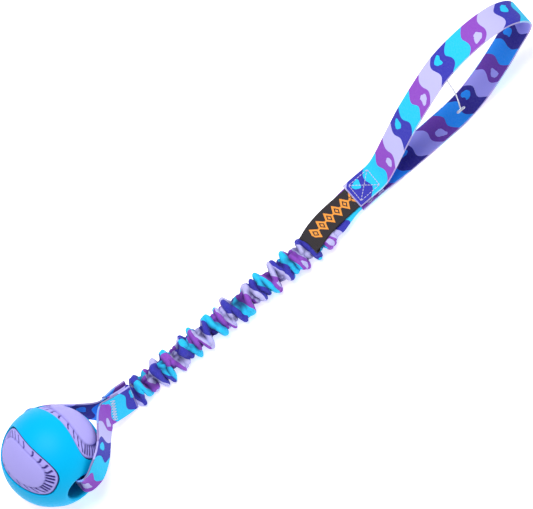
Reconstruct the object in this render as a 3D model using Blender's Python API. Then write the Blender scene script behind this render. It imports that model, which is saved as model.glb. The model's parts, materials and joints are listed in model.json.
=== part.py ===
"""Bungee tug toy for a dog: rubber ball on a webbing strap, gathered elastic sleeve and webbing hand loop.

The toy lies on the floor along X, ball at -X and hand loop at +X. Units are metres, +Z is up, and the
origin is the middle of the toy's footprint. Before that last shift, places are counted from the point
where the sleeve's ball end bends, on the sleeve's middle line.
"""

import math

import bmesh
import bpy
from mathutils import Matrix, Vector

MM = 0.001
TURN = 2 * math.pi

# Clearances
FIT_GAP = 0.3 * MM
CUT_OVERRUN = 3.0 * MM

# Ball
BALL_RADIUS = 32.75 * MM
BORE_RADIUS = 10.0 * MM
MOUTH_ROUNDING = 2.0 * MM
INLAY_HALF_LENGTH_DEG = 53.36
INLAY_HALF_WIDTH_DEG = 26.24
INLAY_THICKNESS = 2.2 * MM
INLAY_FLANGE_WIDTH = 4.4 * MM
INLAY_FLANGE_DROP = 0.9 * MM
INLAY_TILTS_DEG = (-39, 61, 144, 227)
INLAY_SQUARENESS = 2.4
INLAY_RING_SHARES = (0.33, 0.67, 1)

# Webbing
WEB_WIDTH = 20.0 * MM
WEB_THICKNESS = 1.4 * MM
THREAD_THICKNESS = 0.8 * MM

# Gathered sleeve and what it holds
SLEEVE_LENGTH = 143.0 * MM
SLEEVE_HEIGHT = 10.0 * MM
RUFFLE_CREST_RADIUS = 9.8 * MM
RUFFLE_VALLEY_RADIUS = 5.8 * MM
RUFFLE_SLANT = 2.0 * MM
RUFFLE_COUNT = 18
RUFFLE_LOBES = 3
RUFFLE_SPREAD_SHARE = 0.06
RUFFLE_FRILL_SHARE = 0.08
RUFFLE_SLANT_WANDER = 2.4
RUFFLE_FRILL_WANDER = 2.1
RUFFLE_SIZE_WANDER = 1.7
RUFFLE_PROFILE_SHARES = ((0, 0), (0.3, 0.75), (0.5, 1), (0.7, 0.75))
SLEEVE_FLATTENING_SHARE = 0.9
FLAT_SLEEVE_THICKNESS = 2.4 * MM
BALL_END_DRAWN_IN_SHARE = 0.72
HANDLE_END_DRAWN_IN_SHARE = 0.85
ELASTIC_RADIUS = 3.0 * MM
TACK_RADIUS = 3.4 * MM
TACK_LENGTH = 10.0 * MM

# Ball strap
STRAP_YAW_DEG = 7.75
BALL_TURN_DEG = -4
STRAP_BORE_SLACK = 0.5 * MM
STRAP_THROAT = 12.45 * MM
STRAP_SEAM_START = 26.0 * MM
STRAP_SEAM_END = 7.0 * MM
STRAP_DESCENT = 55.0 * MM
STRAP_SEAM_LEAN_DEG = 17

# Lean, rise and stand-off of the ball strap's two strands: -1 is the near one and 1 the far one
STRAND_LEANS_DEG = {-1: 10, 1: 4}
STRAND_RISES = {-1: 4.0 * MM, 1: -7.5 * MM}
STRAND_STAND_OFFS = {-1: 1.2 * MM, 1: 0.6 * MM}
BARTACK_HEIGHT = 15.0 * MM
BARTACK_WIDTH = 2.4 * MM

# Hand loop, whose shares are of its length and of its rise
FLAT_END_RUN = 38.0 * MM
HANDLE_LENGTH = 158.0 * MM
HANDLE_RISE = 69.2 * MM
HANDLE_SIDE_START = 9.3 * MM
HANDLE_SIDE_DRIFT = 4.7 * MM
HANDLE_SEAM_LENGTH = 20.0 * MM
HANDLE_SEAM_LIFT = 2.5 * MM
BOX_STITCH_MARGIN = 3.0 * MM
BOX_STITCH_END_MARGIN = 1.5 * MM
LOOP_UPPER_SHARES = (
    (0.18, 0.19), (0.29, 0.42), (0.39, 0.62), (0.54, 0.855), (0.62, 0.945),
    (0.71, 0.99), (0.80, 1), (0.87, 0.975), (0.93, 0.92), (0.98, 0.81),
)
LOOP_LOWER_SHARES = (
    (1, 0.68), (0.985, 0.59), (0.945, 0.51), (0.89, 0.42),
    (0.81, 0.285), (0.73, 0.17), (0.64, 0.065), (0.57, 0.02),
)
LOOP_FLOOR_SHARES = (0.49, 0.41, 0.33, 0.26)

# Label
LABEL_WIDTH = 16.0 * MM
LABEL_LENGTH = 43.5 * MM
LABEL_TUCK = 4.0 * MM
LABEL_PLY = 0.4 * MM
LABEL_FREE_SIDE = -1.2 * MM
LABEL_END_HEIGHT = 16.0 * MM
LABEL_SEAM_MARGIN = 1.5 * MM
LABEL_SHARES = (0, 0.1, 0.25, 0.4, 0.55, 0.7, 0.85, 1)
LABEL_LEVEL_SHARE = 0.1

# Tag pin
PIN_FILAMENT_RADIUS = 0.45 * MM
PIN_LENGTH = 42.0 * MM
PIN_BAR_LENGTH = 8.0 * MM
PIN_BAR_RADIUS = 0.9 * MM
PIN_PLACE = 92.0 * MM
PIN_SWAY = 5.0 * MM
PIN_INSET = 1.0 * MM
PIN_BOW_SHARE = 0.25

# Facets
BALL_SIDES = 40
BALL_RINGS = 24
MOUTH_STEPS = 4
BORE_STEPS = 4
INLAY_SIDES = 28
RUFFLE_SIDES = 16
WEB_CELLS = 6
ROD_SIDES = 12
TACK_SIDES = 16
THREAD_SIDES = 8
IN_BORE_STEPS = 5
IN_MOUTH_STEPS = 3
BEND_STEPS = 8
HUG_STEPS = 4
RUN_STEPS = 8
SEAM_STEPS = 5
FLAT_END_STEPS = 4
LOOP_STEPS = 3
PIN_STEPS = 3
SMOOTH_EDGE_DEG = 35

# Places worked out from the sizes
STRAP_YAW = math.radians(STRAP_YAW_DEG)
BALL_TURN = math.radians(BALL_TURN_DEG)
BALL_REACH = STRAP_SEAM_START + STRAP_THROAT + BALL_RADIUS
BALL_CENTRE = Vector((-BALL_REACH * math.cos(STRAP_YAW), -BALL_REACH * math.sin(STRAP_YAW), BALL_RADIUS))
INLAY_HALF_LENGTH = BALL_RADIUS * math.radians(INLAY_HALF_LENGTH_DEG)
INLAY_HALF_WIDTH = BALL_RADIUS * math.radians(INLAY_HALF_WIDTH_DEG)
HANDLE_START = SLEEVE_LENGTH + FLAT_END_RUN
HALF_WEB = WEB_WIDTH / 2
WEB_STAND = FIT_GAP + WEB_THICKNESS / 2
STRAP_CUP_RADIUS = BORE_RADIUS - WEB_STAND - STRAP_BORE_SLACK
SEAM_OFFSET = FLAT_SLEEVE_THICKNESS / 2 + WEB_STAND
FLOOR_WEB_HEIGHT = WEB_THICKNESS / 2
LOWER_WEB_HEIGHT = FLOOR_WEB_HEIGHT + HANDLE_SEAM_LIFT
FLAT_SLEEVE_HEIGHT = LOWER_WEB_HEIGHT + WEB_STAND + FLAT_SLEEVE_THICKNESS / 2
HANDLE_ACROSS = Vector((-HANDLE_SIDE_DRIFT, HANDLE_LENGTH, 0)).normalized()
LABEL_STACK = 2 * LABEL_PLY + FIT_GAP
LABEL_SEAT_HEIGHT = FLAT_SLEEVE_HEIGHT + FLAT_SLEEVE_THICKNESS / 2 + FIT_GAP + LABEL_STACK / 2
UPPER_WEB_HEIGHT = LABEL_SEAT_HEIGHT + LABEL_STACK / 2 + WEB_STAND

# Each moving body and the point of its joint
BODIES = {
    "handle": (None, Vector((HANDLE_START, HANDLE_SIDE_START, 0))),
    "bungee": ("handle", Vector((SLEEVE_LENGTH, 0, SLEEVE_HEIGHT))),
    "bungee_end": ("bungee", Vector((0, 0, SLEEVE_HEIGHT))),
    "ball_strap": ("bungee_end", Vector((0, 0, SLEEVE_HEIGHT))),
    "ball": ("ball_strap", BALL_CENTRE),
}

# Colour, roughness and coat of each material
FINISHES = {
    "ball_rubber": ((0.0, 0.50, 0.90), 0.38, 0.0),
    "inlay_rubber": ((0.42, 0.36, 0.80), 0.48, 0.0),
    "printed_webbing": ((0.12, 0.10, 0.62), 0.75, 0.0),
    "printed_sleeve": ((0.10, 0.32, 0.85), 0.75, 0.0),
    "elastic": ((0.85, 0.85, 0.85), 0.8, 0.0),
    "thread": ((0.75, 0.72, 0.92), 0.7, 0.0),
    "label_fabric": ((0.035, 0.035, 0.045), 0.85, 0.0),
    "clear_plastic": ((0.9, 0.9, 0.92), 0.2, 0.3),
}


def clear_scene():
    for obj in list(bpy.data.objects):
        bpy.data.objects.remove(obj, do_unlink=True)


def finish(name):
    """The named material, made once."""
    if name in bpy.data.materials:
        return bpy.data.materials[name]
    colour, roughness, coat = FINISHES[name]
    material = bpy.data.materials.new(name)
    material.use_nodes = True
    shader = material.node_tree.nodes["Principled BSDF"]
    shader.inputs["Base Color"].default_value = (*colour, 1)
    shader.inputs["Roughness"].default_value = roughness
    shader.inputs["Metallic"].default_value = 0
    shader.inputs["Coat Weight"].default_value = coat
    return material


def add_bodies():
    """One empty for each body, on its joint's axis, each a child of the one it moves on."""
    toy = bpy.data.objects.new("toy", None)
    bpy.context.scene.collection.objects.link(toy)
    empties = {None: toy}
    for name, (parent, place) in BODIES.items():
        empty = bpy.data.objects.new(name + "_body", None)
        bpy.context.scene.collection.objects.link(empty)
        empty.parent = empties[parent]
        origin = BODIES[parent][1] if parent else Vector()
        empty.location = place - origin
        empties[name] = empty
    return empties


def add_solid(name, points, faces, material, body, empties):
    """A closed mesh whose points are given in the toy's own frame."""
    origin = BODIES[body][1]
    mesh = bpy.data.meshes.new(name)
    mesh.from_pydata([point - origin for point in points], [], faces)
    shape = bmesh.new()
    shape.from_mesh(mesh)
    bmesh.ops.recalc_face_normals(shape, faces=shape.faces)
    shape.to_mesh(mesh)
    shape.free()
    mesh.shade_smooth()
    mesh.set_sharp_from_angle(angle=math.radians(SMOOTH_EDGE_DEG))
    mesh.materials.append(finish(material))
    obj = bpy.data.objects.new(name, mesh)
    bpy.context.scene.collection.objects.link(obj)
    obj.parent = empties[body]
    return obj


def swept(sections, ring=False):
    """Faces that join each section's outline to the next, with end caps unless the sections make a ring."""
    count = len(sections[0])
    points = [point for section in sections for point in section]
    faces = []
    for i in range(len(sections) if ring else len(sections) - 1):
        here = i * count
        there = (i + 1) % len(sections) * count
        for j in range(count):
            k = (j + 1) % count
            faces.append((here + j, here + k, there + k, there + j))
    if not ring:
        last = (len(sections) - 1) * count
        faces.append(tuple(range(count)))
        faces.append(tuple(range(last, last + count)))
    return points, faces


def smooth_share(share):
    share = min(max(share, 0), 1)
    return share * share * (3 - 2 * share)


def curve_through(points, steps):
    """A smooth curve through the points, with this many steps from one to the next."""
    ends = [2 * points[0] - points[1], *points, 2 * points[-1] - points[-2]]
    curve = []
    for a, b, c, d in zip(ends, ends[1:], ends[2:], ends[3:]):
        for step in range(steps):
            t = step / steps
            bend = (2 * a - 5 * b + 4 * c - d) * t * t + (3 * b - a - 3 * c + d) * t**3
            curve.append(b + ((c - a) * t + bend) / 2)
    return [*curve, points[-1]]


def directions(path):
    """The path's unit direction at each of its points."""
    found = []
    for i in range(len(path)):
        ahead = path[min(i + 1, len(path) - 1)]
        behind = path[max(i - 1, 0)]
        found.append((ahead - behind).normalized())
    return found


def web_section(centre, along, width_way, half_width, thickness, curl=0):
    """A band's outline: flat, or curled to an arc, where curl is one over the arc's radius."""
    across = (width_way - along * width_way.dot(along)).normalized()
    normal = along.cross(across)
    outer, inner = [], []
    for cell in range(WEB_CELLS + 1):
        reach = half_width * (2 * cell / WEB_CELLS - 1)
        turn = curl * reach
        middle = centre + across * reach
        if curl:
            middle = centre + (across * math.sin(turn) + normal * (1 - math.cos(turn))) / curl
        face_way = normal * math.cos(turn) - across * math.sin(turn)
        outer.append(middle + face_way * thickness / 2)
        inner.append(middle - face_way * thickness / 2)
    return outer + inner[::-1]


def round_section(centre, along, radius, sides):
    """A round outline square to the direction it is swept along."""
    first = along.orthogonal().normalized()
    second = along.cross(first)
    turns = [TURN * side / sides for side in range(sides)]
    return [centre + radius * (first * math.cos(turn) + second * math.sin(turn)) for turn in turns]


def rod(start, end, radius, sides):
    along = (end - start).normalized()
    return swept([round_section(place, along, radius, sides) for place in (start, end)])


def strap_place(point):
    """From the strap's own frame, where the ball is straight along -X from the bend, to the toy's frame."""
    return Matrix.Rotation(STRAP_YAW, 3, "Z") @ point


def ball_place(point):
    """From the ball's own frame, whose Y is the bore's axis, to the toy's frame."""
    return BALL_CENTRE + Matrix.Rotation(STRAP_YAW + BALL_TURN, 3, "Z") @ point


def ball_profile():
    """The ball's section, as (out, along), from a bore mouth over the outside and back through the bore."""
    rounding_out = BORE_RADIUS + MOUTH_ROUNDING
    rounding_along = math.sqrt((BALL_RADIUS - MOUTH_ROUNDING) ** 2 - rounding_out**2)
    mouth_turn = math.atan2(rounding_along, rounding_out)
    profile = []
    for ring in range(BALL_RINGS + 1):
        turn = mouth_turn * (1 - 2 * ring / BALL_RINGS)
        profile.append((BALL_RADIUS * math.cos(turn), BALL_RADIUS * math.sin(turn)))
    for side in (-1, 1):
        steps = range(1, MOUTH_STEPS + 1) if side < 0 else range(MOUTH_STEPS, 0, -1)
        mouth = []
        for step in steps:
            turn = mouth_turn + (math.pi - mouth_turn) * step / MOUTH_STEPS
            out = rounding_out + MOUTH_ROUNDING * math.cos(turn)
            mouth.append((out, side * (rounding_along + MOUTH_ROUNDING * math.sin(turn))))
        profile += mouth
        if side < 0:
            inside = [2 * step / BORE_STEPS - 1 for step in range(1, BORE_STEPS)]
            profile += [(BORE_RADIUS, rounding_along * share) for share in inside]
    return profile


def add_ball_shell(empties):
    sections = []
    for side in range(BALL_SIDES):
        turn = TURN * side / BALL_SIDES
        ring = []
        for out, along in ball_profile():
            point = Vector((out * math.sin(turn), along, out * math.cos(turn)))
            ring.append(ball_place(point))
        sections.append(ring)
    shell = add_solid("ball_shell", *swept(sections, ring=True), "ball_rubber", "ball", empties)
    for number, tilt in enumerate(INLAY_TILTS_DEG, 1):
        cutter = add_inlay(f"recess_{number}", tilt, FIT_GAP, empties)
        cutter.hide_render = True
        cutter.display_type = "WIRE"
        cut = shell.modifiers.new(f"recess_{number}", "BOOLEAN")
        cut.operation = "DIFFERENCE"
        cut.object = cutter


def squared(value):
    """A sine or cosine pushed outwards, which turns an ellipse into a fuller oval."""
    return math.copysign(abs(value) ** (2 / INLAY_SQUARENESS), value)


def inlay_point(share, turn, grow, radius, tilt):
    """A point of an oval patch on the ball, at this share of the way from its middle to its edge."""
    latitude = share * (INLAY_HALF_LENGTH + grow) / BALL_RADIUS * squared(math.sin(turn))
    sideways = share * (INLAY_HALF_WIDTH + grow) / BALL_RADIUS * squared(math.cos(turn))
    longitude = sideways / math.cos(latitude) + math.radians(tilt)
    out = radius * math.cos(latitude)
    point = (out * math.sin(longitude), radius * math.sin(latitude), out * math.cos(longitude))
    return ball_place(Vector(point))


def add_inlay(name, tilt, grow, empties):
    """An oval inlay with a raised middle and a lower rim or, where grow isn't 0, the cutter of its recess."""
    bottom = BALL_RADIUS - INLAY_THICKNESS - grow
    rim = BALL_RADIUS - INLAY_FLANGE_DROP
    plateau_share = 1 - INLAY_FLANGE_WIDTH / INLAY_HALF_WIDTH
    step_share = plateau_share + INLAY_FLANGE_DROP / INLAY_HALF_WIDTH
    levels = [(share, bottom) for share in INLAY_RING_SHARES]
    if grow:
        top = BALL_RADIUS + CUT_OVERRUN
        levels += [(share, top) for share in INLAY_RING_SHARES[::-1]]
    else:
        levels += [(1, rim), (step_share, rim)]
        levels += [(plateau_share, BALL_RADIUS), (plateau_share / 2, BALL_RADIUS)]
    points = []
    for share, radius in levels:
        for side in range(INLAY_SIDES):
            points.append(inlay_point(share, TURN * side / INLAY_SIDES, grow, radius, tilt))
    faces = []
    for level in range(len(levels) - 1):
        for side in range(INLAY_SIDES):
            after = (side + 1) % INLAY_SIDES
            here, there = level * INLAY_SIDES, (level + 1) * INLAY_SIDES
            faces.append((here + side, here + after, there + after, there + side))
    for level, (_, radius) in ((0, levels[0]), (len(levels) - 1, levels[-1])):
        middle = len(points)
        points.append(inlay_point(0, 0, grow, radius, tilt))
        for side in range(INLAY_SIDES):
            after = (side + 1) % INLAY_SIDES
            faces.append((level * INLAY_SIDES + side, level * INLAY_SIDES + after, middle))
    return add_solid(name, points, faces, "inlay_rubber", "ball", empties)


def strap_height(reach):
    """Height of the strap's middle line, this far along X from the bend: level on the ball, then falling."""
    fall = smooth_share((reach + STRAP_DESCENT) / STRAP_DESCENT)
    return BALL_RADIUS + (SLEEVE_HEIGHT - BALL_RADIUS) * fall


def strand_plan(side):
    """One strand seen from above, from the middle of the bore to the start of the seam.

    Each place is its distance from the ball's middle along X and to the strand's own side, with its curl
    and its share of the strand's own lean and rise. The part in and round the bore's mouth turns with
    the ball.
    """
    plan = []
    lean = math.radians(STRAND_LEANS_DEG[side])
    hug = BALL_RADIUS + WEB_STAND + STRAND_STAND_OFFS[side]
    hug = (hug + side * STRAND_RISES[side] * math.sin(lean)) / math.cos(lean)
    bend = MOUTH_ROUNDING + WEB_STAND + STRAP_BORE_SLACK + STRAND_STAND_OFFS[side] / 2
    bend_middle = STRAP_CUP_RADIUS + bend
    bend_side = math.sqrt((hug - bend) ** 2 - bend_middle**2)
    with_ball = Matrix.Rotation(side * BALL_TURN, 2)
    for step in range(IN_BORE_STEPS):
        place = with_ball @ Vector((STRAP_CUP_RADIUS, bend_side * step / IN_BORE_STEPS))
        plan.append((*place, 1, 0))
    hug_start = math.atan2(bend_side, bend_middle)
    for step in range(BEND_STEPS + 1):
        turn = math.pi - (math.pi - hug_start) * step / BEND_STEPS
        round_mouth = Vector((bend_middle + bend * math.cos(turn), bend_side + bend * math.sin(turn)))
        leaning = smooth_share((step - IN_MOUTH_STEPS) / (BEND_STEPS - IN_MOUTH_STEPS))
        plan.append((*(with_ball @ round_mouth), 1 - step / BEND_STEPS, leaning))
    hug_start += side * BALL_TURN
    seam_start = BALL_REACH - STRAP_SEAM_START
    far_reach = math.hypot(seam_start, SEAM_OFFSET)
    leave = math.acos(hug / far_reach) + math.atan2(SEAM_OFFSET, seam_start)
    for step in range(1, HUG_STEPS + 1):
        turn = hug_start + (leave - hug_start) * step / HUG_STEPS
        plan.append((hug * math.cos(turn), hug * math.sin(turn), 0, 1))
    start = Vector(plan[-1][:2])
    pull = (seam_start - start.x) / 2
    first = start + pull * Vector((math.sin(leave), -math.cos(leave)))
    end = Vector((seam_start, SEAM_OFFSET))
    second = end - pull * Vector((1, 0)) / 2
    for step in range(1, RUN_STEPS):
        t = step / RUN_STEPS
        near = start * (1 - t) ** 3 + first * 3 * t * (1 - t) ** 2
        plan.append((*(near + second * 3 * t * t * (1 - t) + end * t**3), 0, 1))
    return plan


def sewn_share(out):
    """How far a strand has turned from its own lean to the seam's, this far along X from the ball."""
    half_way = (BALL_REACH - STRAP_SEAM_START) / 2
    return smooth_share((out - half_way) / half_way)


def lean_way(lean):
    return strap_place(Vector((0, math.sin(lean), math.cos(lean))))


def seam_frame(reach):
    """A place on the sewn tongue's middle line, with the ways along, across and out of its near face."""
    here = strap_place(Vector((-reach, 0, strap_height(-reach))))
    there = strap_place(Vector((FIT_GAP - reach, 0, strap_height(FIT_GAP - reach))))
    along = (there - here).normalized()
    lean = lean_way(math.radians(STRAP_SEAM_LEAN_DEG))
    across = (lean - along * lean.dot(along)).normalized()
    return here, along, across, along.cross(across)


def seam_reaches():
    """Distances from the bend at which the strap's ends and the sleeve between them turn together."""
    length = STRAP_SEAM_START - STRAP_SEAM_END
    return [STRAP_SEAM_END + length * step / SEAM_STEPS for step in range(SEAM_STEPS + 1)]


def strand_sections(side):
    """One strand's outlines, from the middle of the bore to its sewn end."""
    places, leans, curls, slopes = [], [], [], []
    for out, aside, curl, leaning in strand_plan(side):
        sewn = sewn_share(out)
        slopes.append(sewn)
        own_lean = math.radians(STRAND_LEANS_DEG[side] * leaning)
        lean = own_lean * (1 - sewn) + math.radians(STRAP_SEAM_LEAN_DEG) * sewn
        height = strap_height(out - BALL_REACH) + STRAND_RISES[side] * leaning * (1 - sewn)
        height -= side * SEAM_OFFSET * math.sin(lean) * sewn
        places.append(strap_place(Vector((out - BALL_REACH, side * aside, height))))
        leans.append(lean)
        curls.append(curl)
    frames = [seam_frame(reach) for reach in seam_reaches()[::-1]]
    place, _, _, out = frames[0]
    places.append(place - out * side * SEAM_OFFSET)
    sections = []
    for place, along, lean, curl, slope in zip(places, directions(places), leans, curls, slopes):
        along = side * Vector((along.x, along.y, along.z * slope)).normalized()
        curling = -curl / STRAP_CUP_RADIUS
        sections.append(web_section(place, along, lean_way(lean), HALF_WEB, WEB_THICKNESS, curling))
    for place, along, across, out in frames:
        along = along if side > 0 else -along
        sections.append(web_section(place - out * side * SEAM_OFFSET, along, across, HALF_WEB, WEB_THICKNESS))
    return sections


def add_ball_strap(empties):
    """One length of webbing, from its near end round the ball's near side, through the bore and back."""
    sections = strand_sections(-1)[:0:-1] + strand_sections(1)[1:]
    add_solid("ball_strap", *swept(sections), "printed_webbing", "ball_strap", empties)


def add_sleeve_ball_end(empties):
    """The sleeve's flat end, sewn between the strap's two ends and drawn in towards the bend."""
    start = TACK_RADIUS + FIT_GAP
    sections = []
    for reach in [start, *seam_reaches()]:
        place, along, across, _ = seam_frame(reach)
        if reach == start:
            along = strap_place(Vector((1, 0, 0)))
        narrowing = 1 - smooth_share((reach - start) / HALF_WEB)
        half_width = HALF_WEB * (1 - (1 - BALL_END_DRAWN_IN_SHARE) * narrowing)
        sections.append(web_section(place, along, across, half_width, FLAT_SLEEVE_THICKNESS))
    add_solid("sleeve_ball_end", *swept(sections), "printed_sleeve", "ball_strap", empties)


def add_bartacks(empties):
    """A bar of thread across each strand's outer face, where the two strands part."""
    stand = SEAM_OFFSET + WEB_THICKNESS / 2 + FIT_GAP + THREAD_THICKNESS / 2
    for number, side in ((1, -1), (2, 1)):
        sections = []
        for edge in (-1, 1):
            reach = STRAP_SEAM_START - BARTACK_WIDTH + edge * BARTACK_WIDTH / 2
            place, along, across, out = seam_frame(reach)
            sections.append(
                web_section(place - out * side * stand, along, across, BARTACK_HEIGHT / 2, THREAD_THICKNESS)
            )
        add_solid(f"strap_bartack_{number}", *swept(sections), "thread", "ball_strap", empties)


def ruffle_section(ruffle, phase, swell):
    """One outline of the gathered sleeve: phase runs from 0 to 1 over a ruffle, and each has its own slant."""
    pitch = (SLEEVE_LENGTH - 2 * (TACK_RADIUS + FIT_GAP)) / RUFFLE_COUNT
    middle = TACK_RADIUS + FIT_GAP + pitch * (ruffle + phase)
    outline = []
    for side in range(RUFFLE_SIDES):
        turn = TURN * side / RUFFLE_SIDES
        slant_way = math.pi * ruffle + math.sin(RUFFLE_SLANT_WANDER * ruffle)
        frill = 1 + RUFFLE_FRILL_SHARE * math.sin(RUFFLE_LOBES * turn + RUFFLE_FRILL_WANDER * ruffle) * swell
        spread = 1 - RUFFLE_SPREAD_SHARE * (1 - math.sin(RUFFLE_SIZE_WANDER * ruffle))
        crest = RUFFLE_CREST_RADIUS * spread * frill
        radius = RUFFLE_VALLEY_RADIUS + (crest - RUFFLE_VALLEY_RADIUS) * swell
        along = middle + RUFFLE_SLANT * swell * math.cos(turn - slant_way)
        height = SLEEVE_HEIGHT + radius * SLEEVE_FLATTENING_SHARE * math.sin(turn)
        outline.append(Vector((along, radius * math.cos(turn), max(height, 0))))
    return outline


def add_bungee_sleeve(empties):
    """The gathered sleeve with its bore, a round hole from end to end for the elastic."""
    sections = []
    for ruffle in range(RUFFLE_COUNT):
        for phase_share, swell_share in RUFFLE_PROFILE_SHARES:
            sections.append(ruffle_section(ruffle, phase_share, swell_share))
    sections.append(ruffle_section(RUFFLE_COUNT - 1, 1, 0))
    bore = ELASTIC_RADIUS + FIT_GAP
    for end in (sections[-1][0].x, sections[0][0].x):
        outline = []
        for side in range(RUFFLE_SIDES):
            turn = TURN * side / RUFFLE_SIDES
            outline.append(Vector((end, bore * math.cos(turn), SLEEVE_HEIGHT + bore * math.sin(turn))))
        sections.append(outline)
    add_solid("bungee_sleeve", *swept(sections, ring=True), "printed_sleeve", "bungee", empties)


def add_elastic(empties):
    """The elastic, and the sewn tack at each of its ends: the tacks lie round the toy's two bends."""
    ends = [Vector((TACK_RADIUS + FIT_GAP, 0, SLEEVE_HEIGHT))]
    ends.append(Vector((SLEEVE_LENGTH - TACK_RADIUS - FIT_GAP, 0, SLEEVE_HEIGHT)))
    add_solid("elastic_core", *rod(*ends, ELASTIC_RADIUS, ROD_SIDES), "elastic", "bungee", empties)
    level = Vector((0, TACK_LENGTH / 2, 0))
    upright = Vector((0, 0, TACK_LENGTH / 2))
    for name, body, way in (
        ("elastic_handle_tack", "bungee", level),
        ("elastic_ball_tack", "bungee_end", upright),
    ):
        middle = BODIES[body][1]
        add_solid(name, *rod(middle - way, middle + way, TACK_RADIUS, TACK_SIDES), "thread", body, empties)


def handle_side(place):
    """How far to +Y the hand loop's middle lies, this far from its sewn end."""
    return HANDLE_SIDE_START + HANDLE_SIDE_DRIFT * place / HANDLE_LENGTH


def add_sleeve_handle_end(empties):
    """The sleeve's flat end, from the bend down into the seam between the hand loop's two ends."""
    start = SLEEVE_LENGTH + TACK_RADIUS + FIT_GAP
    seam_end = HANDLE_START + HANDLE_SEAM_LENGTH
    stations = []
    for step in range(FLAT_END_STEPS + 1):
        share = step / FLAT_END_STEPS
        place = start + (HANDLE_START - start) * share
        fall = smooth_share(share)
        height = SLEEVE_HEIGHT + (FLAT_SLEEVE_HEIGHT - SLEEVE_HEIGHT) * fall
        stations.append((Vector((place, HANDLE_SIDE_START * fall, height)), share))
    stations.append((Vector((seam_end, handle_side(HANDLE_SEAM_LENGTH), FLAT_SLEEVE_HEIGHT)), 1))
    ways = directions([place for place, _ in stations])
    sections = []
    for (place, share), along in zip(stations, ways):
        gathering = 1 - smooth_share(2 * share)
        half_width = HALF_WEB * (1 - (1 - HANDLE_END_DRAWN_IN_SHARE) * gathering)
        thickness = FLAT_SLEEVE_THICKNESS + TACK_RADIUS / 2 * gathering
        if share == 0:
            along = Vector((1, 0, 0))
        if share == 1:
            along = Vector((along.x, along.y, 0)).normalized()
        sections.append(web_section(place, along, Vector((0, 1, 0)), half_width, thickness))
    add_solid("sleeve_handle_end", *swept(sections), "printed_sleeve", "handle", empties)


def handle_path():
    """The hand loop's middle line, from its upper cut end over the loop to its lower end."""
    seam = HANDLE_SEAM_LENGTH
    highest = HANDLE_RISE - WEB_THICKNESS / 2
    farthest = HANDLE_LENGTH - WEB_THICKNESS / 2
    outline = [(0, UPPER_WEB_HEIGHT), (seam / 2, UPPER_WEB_HEIGHT), (seam, UPPER_WEB_HEIGHT)]
    for along_share, up_share in LOOP_UPPER_SHARES + LOOP_LOWER_SHARES:
        outline.append((farthest * along_share, FLOOR_WEB_HEIGHT + (highest - FLOOR_WEB_HEIGHT) * up_share))
    outline += [(farthest * along_share, FLOOR_WEB_HEIGHT) for along_share in LOOP_FLOOR_SHARES]
    outline += [(seam, LOWER_WEB_HEIGHT), (seam / 2, LOWER_WEB_HEIGHT), (0, LOWER_WEB_HEIGHT)]
    flat = curve_through([Vector((along, 0, up)) for along, up in outline], LOOP_STEPS)
    path = []
    for point in flat:
        height = max(point.z, FLOOR_WEB_HEIGHT)
        path.append(Vector((HANDLE_START + point.x, handle_side(point.x), height)))
    return path


def add_handle_webbing(empties):
    path = handle_path()
    ways = directions(path)
    sections = []
    for place, along in zip(path, ways):
        if place.z == FLOOR_WEB_HEIGHT:
            along = Vector((along.x, along.y, 0)).normalized()
        sections.append(web_section(place, along, HANDLE_ACROSS, HALF_WEB, WEB_THICKNESS))
    add_solid("handle_webbing", *swept(sections), "printed_webbing", "handle", empties)


def add_handle_box_stitch(empties):
    """The box of thread, with a line across its middle, that closes the hand loop."""
    height = UPPER_WEB_HEIGHT + WEB_THICKNESS / 2 + FIT_GAP
    near = HANDLE_START + BOX_STITCH_MARGIN
    far = HANDLE_START + HANDLE_SEAM_LENGTH - BOX_STITCH_END_MARGIN
    half = HALF_WEB - BOX_STITCH_MARGIN
    line = THREAD_THICKNESS
    columns = [near, near + line, far - line, far]
    rows = [-half, line - half, -line / 2, line / 2, half - line, half]
    solid = bmesh.new()
    corners = {}

    def corner(i, j):
        if (i, j) not in corners:
            side = handle_side(columns[i] - HANDLE_START) + rows[j]
            corners[i, j] = solid.verts.new((columns[i], side, height))
        return corners[i, j]

    for i in range(len(columns) - 1):
        for j in range(len(rows) - 1):
            if i == 1 and j in (1, 3):
                continue
            solid.faces.new([corner(i, j), corner(i + 1, j), corner(i + 1, j + 1), corner(i, j + 1)])
    top = bmesh.ops.extrude_face_region(solid, geom=list(solid.faces))
    lifted = [item for item in top["geom"] if isinstance(item, bmesh.types.BMVert)]
    bmesh.ops.translate(solid, verts=lifted, vec=(0, 0, line / 2))
    solid.verts.index_update()
    points = [vertex.co.copy() for vertex in solid.verts]
    faces = [tuple(vertex.index for vertex in face.verts) for face in solid.faces]
    solid.free()
    add_solid("handle_box_stitch", points, faces, "thread", "handle", empties)


def label_path():
    """The label's upper ply, from under the hand loop's cut end to the fold at its free end."""
    tucked = HANDLE_START + LABEL_TUCK
    free = tucked - LABEL_LENGTH
    path = []
    for share in LABEL_SHARES:
        place = tucked + (free - tucked) * share
        rise = smooth_share((share - LABEL_LEVEL_SHARE) / (1 - LABEL_LEVEL_SHARE))
        height = LABEL_SEAT_HEIGHT + (LABEL_END_HEIGHT - LABEL_SEAT_HEIGHT) * rise
        side = HANDLE_SIDE_START + (LABEL_FREE_SIDE - HANDLE_SIDE_START) * share * share
        path.append(Vector((place, side, height)))
    return path


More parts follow.
